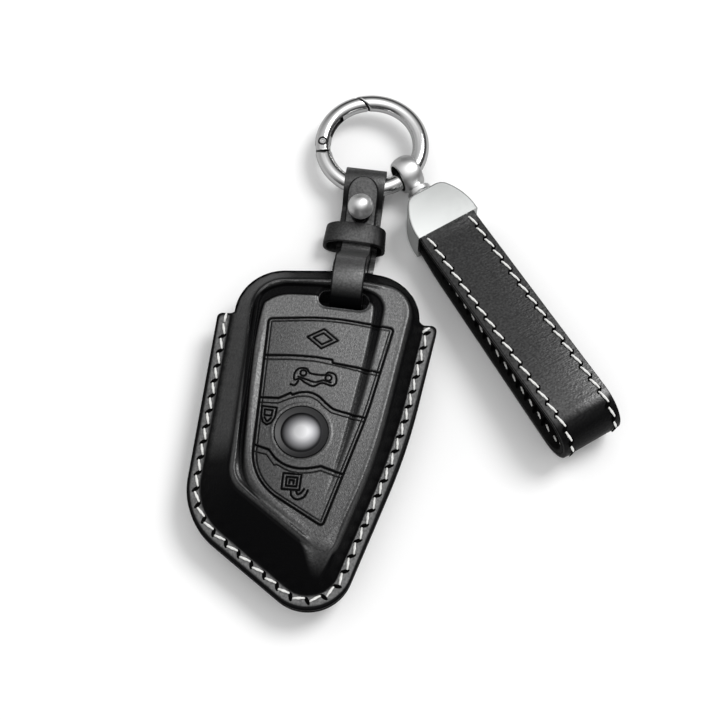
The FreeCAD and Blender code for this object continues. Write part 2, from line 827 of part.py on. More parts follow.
def swivel_eye():
    body = new_body("swivel_eye")
    ball, neck = size("eye_size") / 2, size("neck_size") / 2
    collar, shank, head = (size(name) / 2 for name in ("collar_size", "shank_size", "head_size"))
    start = size("collar_start")
    end = start + size("collar_length")
    inner = size("cap_start") + size("cap_end_wall") + size("shank_gap")
    steps = [
        (math.sqrt(ball**2 - neck**2), neck),
        (start, neck),
        (start, collar),
        (end, collar),
        (end, shank),
        (inner, shank),
        (inner, head),
        (inner + size("head_thick"), head),
        (inner + size("head_thick"), 0),
        (-ball, 0),
    ]
    points = [V(x, y, 0) for x, y in steps]
    outline = [Part.LineSegment(a, b) for a, b in zip(points, points[1:])]
    outline.append(Part.Arc(points[-1], V(0, ball, 0), points[0]))
    revolve(body, "turned", sketch(body, "turned_outline", "XZ_Plane", outline), "H_Axis")
    flat, side = size("eye_flat") / 2, 2 * ball
    reach = math.sqrt(ball**2 - neck**2)
    sides = []
    for hand in (1, -1):
        near, far = hand * flat, hand * side
        sides += polygon([(-side, near), (reach, near), (reach, far), (-side, far)])
    drawn = sketch(body, "flats_outline", "XY_Plane", sides)
    pocket(body, "flats", drawn, "2 * sizes.eye_size", Midplane=True)
    waist, mouth = size("eye_waist"), size("eye_mouth")
    bore = [
        Part.Arc(V(mouth, -flat, 0), V(waist, 0, 0), V(mouth, flat, 0)),
        Part.LineSegment(V(mouth, flat, 0), V(0, flat, 0)),
        Part.LineSegment(V(0, flat, 0), V(0, -flat, 0)),
        Part.LineSegment(V(0, -flat, 0), V(mouth, -flat, 0)),
    ]
    revolve(body, "bore", sketch(body, "bore_outline", "XY_Plane", bore), kind="Groove")
    place_on_wrist(body)
    return body


def cap_outline(half, front, bow, past):
    """The D shape of the cap from above, drawn past its mouth by a length."""
    nose = size("cap_nose") / 2
    mouth = size("cap_start") + size("cap_length")
    shoulder = mouth - size("cap_shoulder")
    end, small = mouth + past, 2 * size("cap_edge")
    return rounded(
        [
            (end, half, small),
            (shoulder, half, bow),
            (front, nose, bow / 2),
            (front, -nose, bow / 2),
            (shoulder, -half, bow),
            (end, -half, small),
        ]
    )


def end_cap():
    body = new_body("end_cap")
    past = 3 * size("cap_edge")
    start = size("cap_start")
    outline = cap_outline(size("cap_width") / 2, start, size("cap_bow"), past)
    drawn = sketch(body, "cap_outline", "XY_Plane", outline)
    block = pad(body, "cap", drawn, "sizes.cap_height", Midplane=True)
    flat = [i for i, edge in enumerate(body.Shape.Edges, 1) if edge.BoundBox.ZLength < 0.01]
    softened = body.newObject("PartDesign::Fillet", "softened")
    softened.Base = (block, [f"Edge{i}" for i in flat])
    softened.setExpression("Radius", "sizes.cap_edge")
    doc.recompute()
    mouth, far = start + size("cap_length"), size("cap_width")
    trim = polygon([(mouth, -far), (mouth + far, -far), (mouth + far, far), (mouth, far)])
    drawn = sketch(body, "mouth_outline", "XY_Plane", trim)
    pocket(body, "mouth", drawn, "2 * sizes.cap_height", Midplane=True)
    inside = size("band_wide") / 2 + size("band_side_gap")
    outline = cap_outline(inside, start + size("cap_end_wall"), size("cap_inner_bow"), past)
    drawn = sketch(body, "hollow_outline", "XY_Plane", outline)
    pocket(body, "hollow", drawn, "sizes.cap_height - 2 * sizes.cap_wall", Midplane=True)
    hole = circle((0, 0), size("shank_size") / 2 + size("shank_gap"))
    drawn = sketch(body, "shank_outline", "YZ_Plane", [hole], "sizes.cap_start")
    pocket(body, "shank_hole", drawn, "1.5 * sizes.cap_end_wall", Reversed=True)
    place_on_wrist(body)
    return body


LAYER = size("band_layer")
BAND_Z = size("cap_height") / 2 - size("cap_wall") - size("band_gap") - LAYER
FLOOR_Z = LAYER + size("thread_rise") + size("band_floor_gap") - size("ring_z")


def band_path():
    """Moves along the loop's seam between its layers: out above, round the bend, back below."""
    rise, ease = size("band_rise"), size("band_ease")
    mouth = size("cap_start") + size("cap_length")
    top = BAND_Z + ease * (1 - cosine(rise)) + size("band_run") * sine(rise)
    bend = (top - FLOOR_Z) / (1 + cosine(rise))
    far = mouth + ease * sine(rise) + size("band_run") * cosine(rise) + bend * sine(rise)
    settle = size("band_settle")
    lift = BAND_Z + FLOOR_Z
    turn = math.degrees(math.acos(1 + lift / (2 * settle)))
    floor = far - mouth - 2 * settle * sine(turn)
    return [
        (mouth - size("band_start"), 0),
        (ease, rise),
        (size("band_run"), 0),
        (bend, -180 - rise),
        (floor, 0),
        (settle, -turn),
        (settle, turn),
        (mouth - size("band_start"), 0),
    ]


def wrist_layer(label, low, high):
    body = new_body(label)
    outline = ribbon((size("band_start"), BAND_Z), 0, band_path(), low, high)
    drawn = sketch(body, "loop_outline", "XZ_Plane", outline)
    pad(body, "loop", drawn, "sizes.band_wide", Midplane=True)
    place_on_wrist(body)
    return body


def upright(flat):
    return V(flat.x, 0, flat.y)


def wrist_stitching():
    """Two rows of straight stitches along the loop's outer face, from the cap's mouth back to it."""
    row = size("band_wide") / 2 - size("band_stitch_inset")
    length = size("stitch_length")
    across = V(0, 1, 0)
    at, angle = V(size("cap_start") + size("cap_length"), BAND_Z, 0), 0
    solids = []
    for reach, turn in band_path()[1:-1]:
        hollow = turn > 0
        radius = reach - LAYER if hollow else reach + LAYER
        span = math.radians(abs(turn)) * radius if turn else reach
        lift = length**2 / (8 * radius) if hollow else 0
        count = max(1, round(span / size("band_stitch_pitch")))
        for k in range(count):
            spot, ahead = advance(at, angle, reach, turn, (k + 0.5) / count)
            base = upright(spot + polar(LAYER + lift, ahead + 90))
            along, up = upright(polar(1, ahead)), upright(polar(1, ahead + 90))
            for side in (-row, row):
                solids.append(thread(base + across * side, along, across, up, length))
        at, angle = advance(at, angle, reach, turn)
    made = group("wrist_stitching", solids)
    place_on_wrist(made)
    return made


front_shell()
rear_shell()
front_lining()
rear_lining()
badge_disc()
case_stitching()
connector_strap()
strap_keeper()
stud_knob()
stud_screw()
ring_body()
ring_gate()
gate_pin()
gate_spring()
swivel_eye()
end_cap()
wrist_layer("wrist_outer", 0, LAYER)
wrist_layer("wrist_lining", -LAYER, 0)
wrist_stitching()
doc.recompute()

PIECES = [item for item in doc.Objects if item.TypeId in ("PartDesign::Body", "Part::Feature")]
for item in doc.Objects:
    if {"Invalid", "Error"} & set(item.State):
        raise ValueError(f"{item.Name}: {item.State}")
os.makedirs("parts", exist_ok=True)
for item in PIECES:
    shape = item.Shape
    if shape.isNull() or not shape.isValid():
        raise ValueError(item.Label + " has no valid shape")
    shape.exportStep(f"parts/{item.Label}.step")
    print(item.Label, len(shape.Solids), round(shape.Volume, 1), shape.BoundBox)
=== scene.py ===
import itertools
import math

import bmesh
import bpy
import numpy as np
from mathutils import Matrix, Vector

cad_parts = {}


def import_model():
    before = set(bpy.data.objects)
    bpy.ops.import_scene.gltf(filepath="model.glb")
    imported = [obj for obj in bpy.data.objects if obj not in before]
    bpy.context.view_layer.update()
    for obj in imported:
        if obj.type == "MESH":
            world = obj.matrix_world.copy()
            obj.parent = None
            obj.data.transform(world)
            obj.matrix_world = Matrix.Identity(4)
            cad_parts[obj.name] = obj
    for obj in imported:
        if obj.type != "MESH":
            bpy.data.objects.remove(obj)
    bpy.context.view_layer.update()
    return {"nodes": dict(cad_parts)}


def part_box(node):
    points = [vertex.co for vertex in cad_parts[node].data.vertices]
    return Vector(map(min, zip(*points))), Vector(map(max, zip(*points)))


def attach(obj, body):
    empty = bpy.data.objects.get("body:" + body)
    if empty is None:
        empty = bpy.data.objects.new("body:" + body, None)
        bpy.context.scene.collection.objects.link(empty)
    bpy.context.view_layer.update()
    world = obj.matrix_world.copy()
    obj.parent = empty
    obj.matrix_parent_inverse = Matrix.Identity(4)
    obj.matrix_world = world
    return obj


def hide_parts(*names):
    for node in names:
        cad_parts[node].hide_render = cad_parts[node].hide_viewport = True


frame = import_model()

# The looks of a key fob cover: embossed leather case, straps, thread and polished fittings.
# Sizes are in millimetres in the part's frame, and MM turns them into metres.

MM = 0.001

# Case outline at its seam as corners of x, y and radius, anticlockwise from the top left
SEAM = [
    (-23.3, 37.6, 13.5),
    (-23.3, -26.9, 15.0),
    (9.7, -47.9, 7.5),
    (21.6, -4.0, 150.0),
    (26.5, 40.0, 13.5),
    (6.0, 41.2, 25.0),
]
SEAM_Z = 7.5
FRONT_HEIGHT = 9.0
REAR_HEIGHT = 7.5
LEATHER = 1.5
RIM_INSETS = (6.4, 10.1, 2.7, 3.7, 6.4, 6.4)
RIM_RADII = (7.0, 7.0, 3.0, 150.0, 7.0, 25.0)
RIM_HEEL = 1.6
REAR_INSET = 4.0
FLANGE_WIDTH = 3.4
TAB_LEFT = 25.2
TAB_RIGHT = 28.6
TAB_ROUND = 1.4
MOUTH_FRONT = 2.7
MOUTH_REAR = 3.3
CASE_CENTRE = np.array((0.0, -2.0))
EDGE_ROUND = 0.35
STITCH_PITCH = 4.0

# Button panel, badge and strap slot on the front face
PANEL = [
    (-12.8, 22.0, 1.0),
    (-10.9, -19.6, 13.0),
    (7.6, -28.6, 0.8),
    (14.4, 0.0, 120.0),
    (18.0, 23.2, 0.8),
    (2.0, 24.2, 60.0),
]
BADGE = np.array((-0.6, -6.2))
BADGE_RADIUS = 6.6
BADGE_LOW = 15.8
BADGE_TOP = 16.5
SLOT = np.array((4.8, 29.6))
SLOT_LENGTH = 12.6
SLOT_WIDTH = 5.2

# Strap, ring and wrist fittings
STUD_LOW, STUD_HIGH = (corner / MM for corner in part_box("stud_knob"))
STUD_X = (STUD_LOW.x + STUD_HIGH.x) / 2
TONGUE_HALF = 3.85
TONGUE_ROUND_Y = 62.8
# Painted shade on the connector strap: tongue edge line, slot, flanks, and a painted highlight at the crown
TONGUE_EDGE_SHADE = 0.12
SLOT_SHADE_Y = (29.8, 34.0)
FLANK_SHADE_Y = (46.0, 50.0)
CROWN_HIGHLIGHT_Y = (62.0, 64.5)
RING = Vector((5.4, 79.6, 5.6))
RING_RADIUS = 13.0
RING_TUBE = 2.15
PIN_ANGLE = 186.0
GATE_REACH = 16.0
GATE_GAP = 0.2
JOINT_LINE = 0.5
HEEL_REACH = 2.75
RING_HEEL = 205.0
SPRING_SLIT = (141.3, 176.0)
LUG_THICK = 1.6
LUG_HALF = 1.5
LUG_ROUND = 1.8
EYE_ANGLE = -35.0
EYE_INSET = 0.35
WRIST_ANGLE = -52.0
BAND_BEND = 32.0
BAND_LAYERS = 2.4


# Outlines


def unit(vector):
    return vector / np.linalg.norm(vector)


def corner_frame(corners, i):
    here = np.array(corners[i][:2])
    back = unit(np.array(corners[i - 1][:2]) - here)
    ahead = unit(np.array(corners[(i + 1) % len(corners)][:2]) - here)
    half = math.acos(np.clip(back @ ahead, -1, 1)) / 2
    return here, back, ahead, half


def rounded(corners, step=0.4):
    """Points along a closed outline of lines and tangent arcs."""
    points = []
    for i, (_, _, radius) in enumerate(corners):
        here, back, ahead, half = corner_frame(corners, i)
        centre = here + unit(back + ahead) * (radius / math.sin(half))
        start = here + back * (radius / math.tan(half)) - centre
        end = here + ahead * (radius / math.tan(half)) - centre
        first = math.atan2(start[1], start[0])
        sweep = math.atan2(start[0] * end[1] - start[1] * end[0], start @ end)
        count = max(3, math.ceil(abs(sweep) * radius / step))
        for k in range(count + 1):
            angle = first + sweep * k / count
            points.append(centre + radius * np.array((math.cos(angle), math.sin(angle))))
    return np.array(points)


def grown(corners, amount):
    moved = []
    for i, (_, _, radius) in enumerate(corners):
        here, back, ahead, half = corner_frame(corners, i)
        at = here - unit(back + ahead) * (amount / math.sin(half))
        moved.append((at[0], at[1], max(radius + amount, 0.1)))
    return moved


def inset_sides(corners, insets, radii):
    """Corners of an outline whose sides move inward by amounts of their own."""
    sides = []
    for i, inset in enumerate(insets):
        a = np.array(corners[i][:2])
        b = np.array(corners[(i + 1) % len(corners)][:2])
        along = unit(b - a)
        sides.append((a + inset * np.array((-along[1], along[0])), along))
    moved = []
    for i, radius in enumerate(radii):
        (p, d), (q, e) = sides[i - 1], sides[i]
        reach = np.cross(q - p, e) / np.cross(d, e)
        at = p + d * reach
        moved.append((at[0], at[1], radius))
    return moved


def smooth_path(points, closed=False, steps=8):
    """A curve through a few points, by Catmull-Rom."""
    points = np.array(points, float)
    count = len(points)
    spans = count if closed else count - 1
    path = []
    for i in range(spans):
        if closed:
            a, b, c, d = (points[(i + k) % count] for k in (-1, 0, 1, 2))
        else:
            b, c = points[i], points[i + 1]
            a = points[i - 1] if i else 2 * b - c
            d = points[i + 2] if i + 2 < count else 2 * c - b
        slope, bend, twist = c - a, 2 * a - 5 * b + 4 * c - d, 3 * b - a - 3 * c + d
        for t in np.arange(steps) / steps:
            path.append(b + 0.5 * (slope * t + bend * t**2 + twist * t**3))
    path.append(points[0] if closed else points[-1])
    return np.array(path)


def distance_to(points, path):
    """Distance of points from a path, and how far along the path the nearest place is, from 0 to 1."""
    best = np.full(len(points), np.inf)
    share = np.zeros(len(points))
    lengths = np.linalg.norm(np.diff(path, axis=0), axis=1)
    starts = np.concatenate(([0], np.cumsum(lengths)))
    for i, length in enumerate(lengths):
        if length < 1e-9:
            continue
        along = (path[i + 1] - path[i]) / length
        offset = points - path[i]
        t = np.clip(offset @ along, 0, length)
        away = np.hypot(offset[:, 0] - t * along[0], offset[:, 1] - t * along[1])
        nearer = away < best
        best[nearer] = away[nearer]
        share[nearer] = (starts[i] + t[nearer]) / starts[-1]
    return best, share


def inside(points, polygon):
    odd = np.zeros(len(points), bool)
    x, y = points[:, 0], points[:, 1]
    for (ax, ay), (bx, by) in zip(polygon, np.roll(polygon, -1, axis=0)):
        crosses = (ay > y) != (by > y)
        if ay != by:
            odd ^= crosses & (x < (bx - ax) * (y - ay) / (by - ay) + ax)
    return odd


def depth_in(points, polygon):
    """Signed distance from an outline, positive inside."""
    away, _ = distance_to(points, np.vstack((polygon, polygon[:1])))
    return np.where(inside(points, polygon), away, -away)


def reach_of(polygon, angles):
    """How far an outline lies from the case's centre along each angle."""
    directions = np.stack((np.cos(angles), np.sin(angles)), axis=1)
    reach = np.zeros(len(angles))
    for a, b in zip(polygon, np.roll(polygon, -1, axis=0)):
        a, edge = a - CASE_CENTRE, b - a
        cross = directions[:, 0] * edge[1] - directions[:, 1] * edge[0]
        safe = np.where(np.abs(cross) < 1e-12, 1e-12, cross)
        along = (a[0] * edge[1] - a[1] * edge[0]) / safe
        t = (a[0] * directions[:, 1] - a[1] * directions[:, 0]) / safe
        hit = (t >= -1e-6) & (t <= 1 + 1e-6) & (along > 0)
        reach = np.where(hit, np.maximum(reach, along), reach)
    return reach


def soft_least(a, b, blend):
    h = np.clip(0.5 + 0.5 * (b - a) / blend, 0, 1)
    return b * (1 - h) + a * h - blend * h * (1 - h)


def soft_most(a, b, blend):
    return -soft_least(-a, -b, blend)


def ease(t):
    t = np.clip(t, 0, 1)
    return t * t * (3 - 2 * t)


# Meshes and pieces


def placed(name, data):
    made = bpy.data.objects.new(name, data)
    bpy.context.scene.collection.objects.link(made)
    return made


def piece(name, vertices, faces, material, body, slot, nodes=(), sharp=40):
    """A smooth-shaded object from points in millimetres."""
    mesh = bpy.data.meshes.new(name)
    mesh.from_pydata([tuple(v * MM for v in vertex) for vertex in vertices], [], faces)
    return finished(name, mesh, material, body, nodes, sharp)


def finished(name, mesh, material, body, nodes=(), sharp=40):
    tidy = bmesh.new()
    tidy.from_mesh(mesh)
    bmesh.ops.remove_doubles(tidy, verts=tidy.verts, dist=1e-7)
    bmesh.ops.recalc_face_normals(tidy, faces=tidy.faces)
    tidy.to_mesh(mesh)
    tidy.free()
    mesh.materials.clear()
    mesh.materials.append(material)
    made = placed(name, mesh)
    shade(made, sharp)
    if body:
        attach(made, body)
        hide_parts(*nodes)
    return made


def shade(made, sharp):
    for polygon in made.data.polygons:
        polygon.use_smooth = True
    made.data.set_sharp_from_angle(angle=math.radians(sharp))


def cut(target, cutters, sharp=40):
    """Takes the cutters out of a closed piece."""
    for cutter in cutters:
        modifier = target.modifiers.new("cut", "BOOLEAN")
        modifier.operation = "DIFFERENCE"
        modifier.solver = "MANIFOLD"
        modifier.object = cutter
    graph = bpy.context.evaluated_depsgraph_get()
    mesh = bpy.data.meshes.new_from_object(target.evaluated_get(graph))
    target.modifiers.clear()
    target.data = mesh
    for cutter in cutters:
        bpy.data.objects.remove(cutter)
    shade(target, sharp)


def grid_faces(rows, columns, wrap_rows=False):
    """Quads of a grid whose columns run round and close."""
    faces = []
    for r in range(rows if wrap_rows else rows - 1):
        s = (r + 1) % rows
        for c in range(columns):
            d = (c + 1) % columns
            faces.append((r * columns + c, r * columns + d, s * columns + d, s * columns + c))
    return faces


def end_faces(rows, columns):
    """The two faces that close the first and last row of a grid."""
    return [tuple(range(columns))[::-1], tuple(range((rows - 1) * columns, rows * columns))]


def lathe(profile, place=Matrix(), steps=96, closed=False):
    """Points and faces of a profile of radius and height turned about its local Z axis."""
    vertices = []
    for radius, height in profile:
        for k in range(steps):
            angle = 2 * math.pi * k / steps
            vertices.append(place @ Vector((radius * math.cos(angle), radius * math.sin(angle), height)))
    return vertices, grid_faces(len(profile), steps, closed)


def prism(outline, low, high, place=Matrix()):
    count = len(outline)
    vertices = [place @ Vector((x, y, z)) for z in (low, high) for x, y in outline]
    faces = [tuple(range(count))[::-1], tuple(range(count, 2 * count))]
    faces += [(i, (i + 1) % count, count + (i + 1) % count, count + i) for i in range(count)]
    return vertices, faces


def cutter(vertices, faces, slot=0):
    """A solid to take away, whose faces leave a material slot of the target."""
    made = piece("cutter", vertices, faces, PLAIN, None, None)
    made.data.materials.append(PLAIN)
    for polygon in made.data.polygons:
        polygon.material_index = slot
    return made


def joined(*parts):
    vertices, faces = [], []
    for points, polygons in parts:
        base = len(vertices)
        vertices += list(points)
        faces += [tuple(i + base for i in polygon) for polygon in polygons]
    return vertices, faces


def arc(centre, radius, first, last, count=8):
    """Points on an arc in a profile, angles in degrees."""
    turns = [math.radians(first + (last - first) * k / count) for k in range(count + 1)]
    return [(centre[0] + radius * math.cos(t), centre[1] + radius * math.sin(t)) for t in turns]


# Materials


def material(name, colour, roughness, metallic=0.0, **sockets):
    made = bpy.data.materials.new(name)
    made.use_nodes = True
    shader = made.node_tree.nodes["Principled BSDF"]
    shader.inputs["Base Color"].default_value = (*colour, 1)
    shader.inputs["Roughness"].default_value = roughness
    shader.inputs["Metallic"].default_value = metallic
    for socket, value in sockets.items():
        shader.inputs[socket.replace("_", " ")].default_value = value
    return made, made.node_tree, shader


def node(tree, kind, inputs=None, **settings):
    made = tree.nodes.new("ShaderNode" + kind)
    for key, value in settings.items():
        setattr(made, key, value)
    for key, value in (inputs or {}).items():
        if isinstance(value, bpy.types.NodeSocket):
            tree.links.new(value, made.inputs[key])
        else:
            made.inputs[key].default_value = value
    return made


def add_bump(tree, shader, layers):
    """Chains bump layers of height socket, strength and depth in millimetres into the shader."""
    normal = None
    for height, strength, depth in layers:
        inputs = {"Height": height, "Strength": strength, "Distance": depth * MM}
        if normal:
            inputs["Normal"] = normal
        normal = node(tree, "Bump", inputs).outputs["Normal"]
    tree.links.new(normal, shader.inputs["Normal"])


def maths(tree, operation, *values):
    return node(tree, "Math", dict(enumerate(values)), operation=operation).outputs["Value"]


def vectors(tree, operation, *values):
    return node(tree, "VectorMath", dict(enumerate(values)), operation=operation).outputs


def graded(tree, value, start, end, first=0.0, last=1.0, **settings):
    """A value that goes from first to last while another goes from start to end."""
    limits = {"Value": value, "From Min": start, "From Max": end, "To Min": first, "To Max": last}
    return node(tree, "MapRange", limits, **settings).outputs["Result"]


def mixed(tree, kind, factor, first, second):
    inputs = {"Factor": factor, "A": first, "B": second}
    return node(tree, "Mix", inputs, data_type=kind).outputs["Result"]


def noise(tree, place, scale, detail):
    return node(tree, "TexNoise", {"Vector": place, "Scale": scale, "Detail": detail}).outputs


def own_place(tree):
    return node(tree, "TexCoord").outputs["Object"]


def in_millimetres(tree, place):
    return vectors(tree, "MULTIPLY", place, (1 / MM,) * 3)["Vector"]


def grain(tree, size):
    """Pebbled leather: cells of a size in millimetres with fine wrinkles between them."""
    place = own_place(tree)
    warp = noise(tree, place, 0.6 / (size * MM), 2.0)["Color"]
    shift = vectors(tree, "MULTIPLY", warp, (size * MM,) * 3)["Vector"]
    moved = vectors(tree, "ADD", place, shift)["Vector"]
    cells = node(tree, "TexVoronoi", {"Vector": moved, "Scale": 1 / (size * MM)}, feature="SMOOTH_F1")
    return place, cells.outputs["Distance"], noise(tree, place, 4 / (size * MM), 3.0)["Fac"]


def ramp(tree, factor, stops):
    made = node(tree, "ValToRGB", {"Fac": factor})
    elements = made.color_ramp.elements
    while len(elements) < len(stops):
        elements.new(0.5)
    for element, (position, colour) in zip(elements, stops):
        element.position = position
        element.color = (*colour, 1)
    return made.outputs["Color"]


def scaled(colour, share):
    return tuple(channel * share for channel in colour)


def mesh_shade_tone(tree, place):
    """Tone that the mesh brings with it: painted shade, and the black of the painted edges."""
    return node(tree, "Attribute", attribute_name="tone").outputs["Fac"]


def strap_painted_shade(tree, place):
    """Painted shade on the connector strap: dark in the slot, beside the tongue and along the tongue's edge,
    less dark as a painted highlight where it crowns over the ring.
    """
    spot = node(tree, "SeparateXYZ", {0: in_millimetres(tree, place)}).outputs
    off = maths(tree, "SUBTRACT", spot["X"], STUD_X)
    up = maths(tree, "MAXIMUM", maths(tree, "SUBTRACT", spot["Y"], TONGUE_ROUND_Y), 0.0)
    away = vectors(tree, "LENGTH", node(tree, "CombineXYZ", {"X": off, "Y": up}).outputs["Vector"])["Value"]
    flank = graded(tree, away, TONGUE_HALF - 0.1, TONGUE_HALF + 0.1)
    above = graded(tree, spot["Y"], *FLANK_SHADE_Y, 0.0, -0.75)
    crown = graded(tree, spot["Y"], *CROWN_HIGHLIGHT_Y, 1.0, 0.5)
    beside = maths(tree, "MULTIPLY_ADD", flank, maths(tree, "MULTIPLY", above, crown), 1.0)
    edge = maths(tree, "ABSOLUTE", maths(tree, "SUBTRACT", away, TONGUE_HALF))
    plain = graded(tree, edge, TONGUE_EDGE_SHADE, 2.5 * TONGUE_EDGE_SHADE, 0.05)
    clear = graded(tree, spot["Y"], *SLOT_SHADE_Y)
    return maths(tree, "MULTIPLY", maths(tree, "MULTIPLY", clear, beside), plain)


def keeper_painted_light(tree, place):
    """Painted light on the keeper: a painted highlight over the tongue and painted shade at its right end.
    """
    across = node(tree, "SeparateXYZ", {0: in_millimetres(tree, place)}).outputs["X"]
    left = graded(tree, across, STUD_X - 6.0, STUD_X - 2.0, 0.45)
    right = graded(tree, across, STUD_X + 1.8, STUD_X + 4.5, 1.0, 0.1)
    return maths(tree, "MULTIPLY", left, right)


def band_painted_light(tree, place):
    """Painted light along the wrist band: a painted highlight just before the bend and painted shade round
    it.
    """
    turn = math.radians(WRIST_ANGLE)
    heading = (math.cos(turn), math.sin(turn), 0)
    along = vectors(tree, "DOT_PRODUCT", in_millimetres(tree, place), heading)["Value"]
    # Painted highlight rising towards the bend, then painted shade round it
    wear_and_highlight = graded(tree, along, BAND_BEND - 18, BAND_BEND - 3, 0.6)
    bend = graded(tree, along, BAND_BEND - 1, BAND_BEND + 2.5, 1.0, 0.1)
    return maths(tree, "MULTIPLY", wear_and_highlight, bend)


def leather(name, dark, light, roughness, cell=0.55, toner=None, depth=0.05, drawn=None, gloss=0.8):
    """Black leather whose grain tops are a little lighter and smoother.

    The toner gives a tone from 0, black with little gloss for painted shade and painted edges, to 1, and
    drawn is the angle of fine lines across.
    """
    made, tree, shader = material(name, light, roughness, Specular_IOR_Level=gloss)
    place, cells, fine = grain(tree, cell)
    spread = maths(tree, "MULTIPLY_ADD", cells, noise(tree, place, 90.0, 3.0)["Fac"], 0.15)
    colour = ramp(tree, spread, [(0.1, light), (0.75, dark)])
    if toner:
        tone = toner(tree, place)
        colour = mixed(tree, "RGBA", tone, (*SHADE_AND_EDGE_BLACK, 1), colour)
        tree.links.new(graded(tree, tone, 0, 1, SHADE_AND_EDGE_ROUGHNESS, roughness), shader.inputs["Roughness"])
        speck = noise(tree, place, 1700.0, 2.0)["Fac"]
        most = graded(tree, speck, 0.35, 0.65, 0.72 * gloss, 1.25 * gloss)
        tree.links.new(graded(tree, tone, 0, 1, SHADE_AND_EDGE_GLOSS, most), shader.inputs["Specular IOR Level"])
    tree.links.new(colour, shader.inputs["Base Color"])
    layers = [(cells, 0.8, depth), (fine, 0.4, depth * 0.6)]
    if drawn is not None:
        turned = node(tree, "Mapping", {"Vector": place, "Scale": (1, 8, 1)}, vector_type="TEXTURE")
        turned.inputs["Rotation"].default_value = (0, 0, math.radians(drawn))
        layers.append((noise(tree, turned.outputs["Vector"], 2800.0, 2.0)["Fac"], 0.8, depth))
    add_bump(tree, shader, layers)
    return made


def woven_thread(name, colour):
    made, tree, shader = material(name, colour, 0.6, Specular_IOR_Level=0.3)
    fibres = noise(tree, own_place(tree), 5200.0, 3.0)["Fac"]
    shades = ramp(tree, fibres, [(0.3, scaled(colour, 0.75)), (0.6, colour)])
    tree.links.new(shades, shader.inputs["Base Color"])
    add_bump(tree, shader, [(fibres, 0.5, 0.05)])
    return made


def metal(name, colour, roughness, wear=0.06, depth=0.004):
    """Plated metal with faint polishing marks."""
    made, tree, shader = material(name, colour, roughness, 1.0)
    marks = noise(tree, own_place(tree), 700.0, 4.0)["Fac"]
    spread = graded(tree, marks, 0, 1, roughness - wear / 2, roughness + wear)
    tree.links.new(spread, shader.inputs["Roughness"])
    add_bump(tree, shader, [(marks, 0.2, depth)])
    return made


def faded_metal():
    """Satin metal of the badge, light in its middle and darker towards its edge: the emblem's dark ring,
    with painted shade of the recess round it.
    """
    made, tree, shader = material("satin_badge", (0.6, 0.6, 0.61), 0.5, 1.0)
    place = own_place(tree)
    middle = (BADGE[0] * MM, BADGE[1] * MM, BADGE_TOP * MM)
    share = graded(tree, vectors(tree, "DISTANCE", place, middle)["Value"], 1.2 * MM, 5.0 * MM)
    light, dusk, dark = (0.55, 0.55, 0.56), (0.25, 0.25, 0.26), (0.015, 0.015, 0.016)
    tree.links.new(ramp(tree, share, [(0.1, light), (0.5, dusk), (0.9, dark)]), shader.inputs["Base Color"])
    add_bump(tree, shader, [(noise(tree, place, 1500.0, 3.0)["Fac"], 0.15, 0.01)])
    return made


def cloth(name, colour):
    made, tree, shader = material(name, colour, 0.95, Specular_IOR_Level=0.15, Sheen_Weight=0.3)
    nap = noise(tree, own_place(tree), 3000.0, 4.0)["Fac"]
    shades = ramp(tree, nap, [(0.3, scaled(colour, 0.5)), (0.7, scaled(colour, 1.6))])
    tree.links.new(shades, shader.inputs["Base Color"])
    add_bump(tree, shader, [(nap, 0.6, 0.1)])
    return made


# Black, roughness and gloss of painted shade and of painted leather edges
SHADE_AND_EDGE_BLACK = (0.003, 0.003, 0.0033)
SHADE_AND_EDGE_ROUGHNESS = 0.34
SHADE_AND_EDGE_GLOSS = 0.04
PLAIN = bpy.data.materials.new("plain")
CASE_LEATHER = leather(
    "case_leather", (0.01, 0.01, 0.0105), (0.034, 0.034, 0.0345), 0.42, 0.3, mesh_shade_tone, 0.08, gloss=1.52
)
KEEPER_LEATHER = leather(
    "keeper_leather", (0.012, 0.012, 0.012), (0.032, 0.032, 0.0325), 0.4, 0.4, keeper_painted_light, gloss=0.9
)
TONGUE_LEATHER = leather(
    "tongue_leather", (0.02, 0.02, 0.02), (0.05, 0.05, 0.0505), 0.4, 0.4, strap_painted_shade, 0.06, gloss=1.25
)
INNER_LEATHER = leather("inner_leather", (0.002, 0.002, 0.002), (0.005, 0.005, 0.005), 0.5, gloss=0.12)
BAND_LEATHER = leather(
    "band_leather",
    (0.004, 0.004, 0.004),
    (0.01, 0.01, 0.0105),
    0.28,
    toner=band_painted_light,
    depth=0.04,
    drawn=WRIST_ANGLE,
    gloss=1.05,
)
HOLE_SHADE = material("hole_shadow", (0.002, 0.002, 0.002), 0.8, Specular_IOR_Level=0.0)[0]
THREAD = woven_thread("white_thread", (0.86, 0.86, 0.84))
BRIGHT = metal("bright_plating", (0.86, 0.86, 0.86), 0.12)
CAP_PLATING = metal("cap_plating", (0.92, 0.94, 0.93), 0.16)
SOFT_BRIGHT = metal("satin_plating", (0.84, 0.84, 0.84), 0.38)
SMOKED = material("smoked_enamel", (0.005, 0.005, 0.006), 0.45)[0]
SHADE_STEEL = metal("shade_steel", (0.03, 0.03, 0.03), 0.55)
PIN_STEEL = metal("pin_steel", (0.55, 0.55, 0.55), 0.3)
LINING = cloth("lining_cloth", (0.02, 0.02, 0.022))


# Case shells

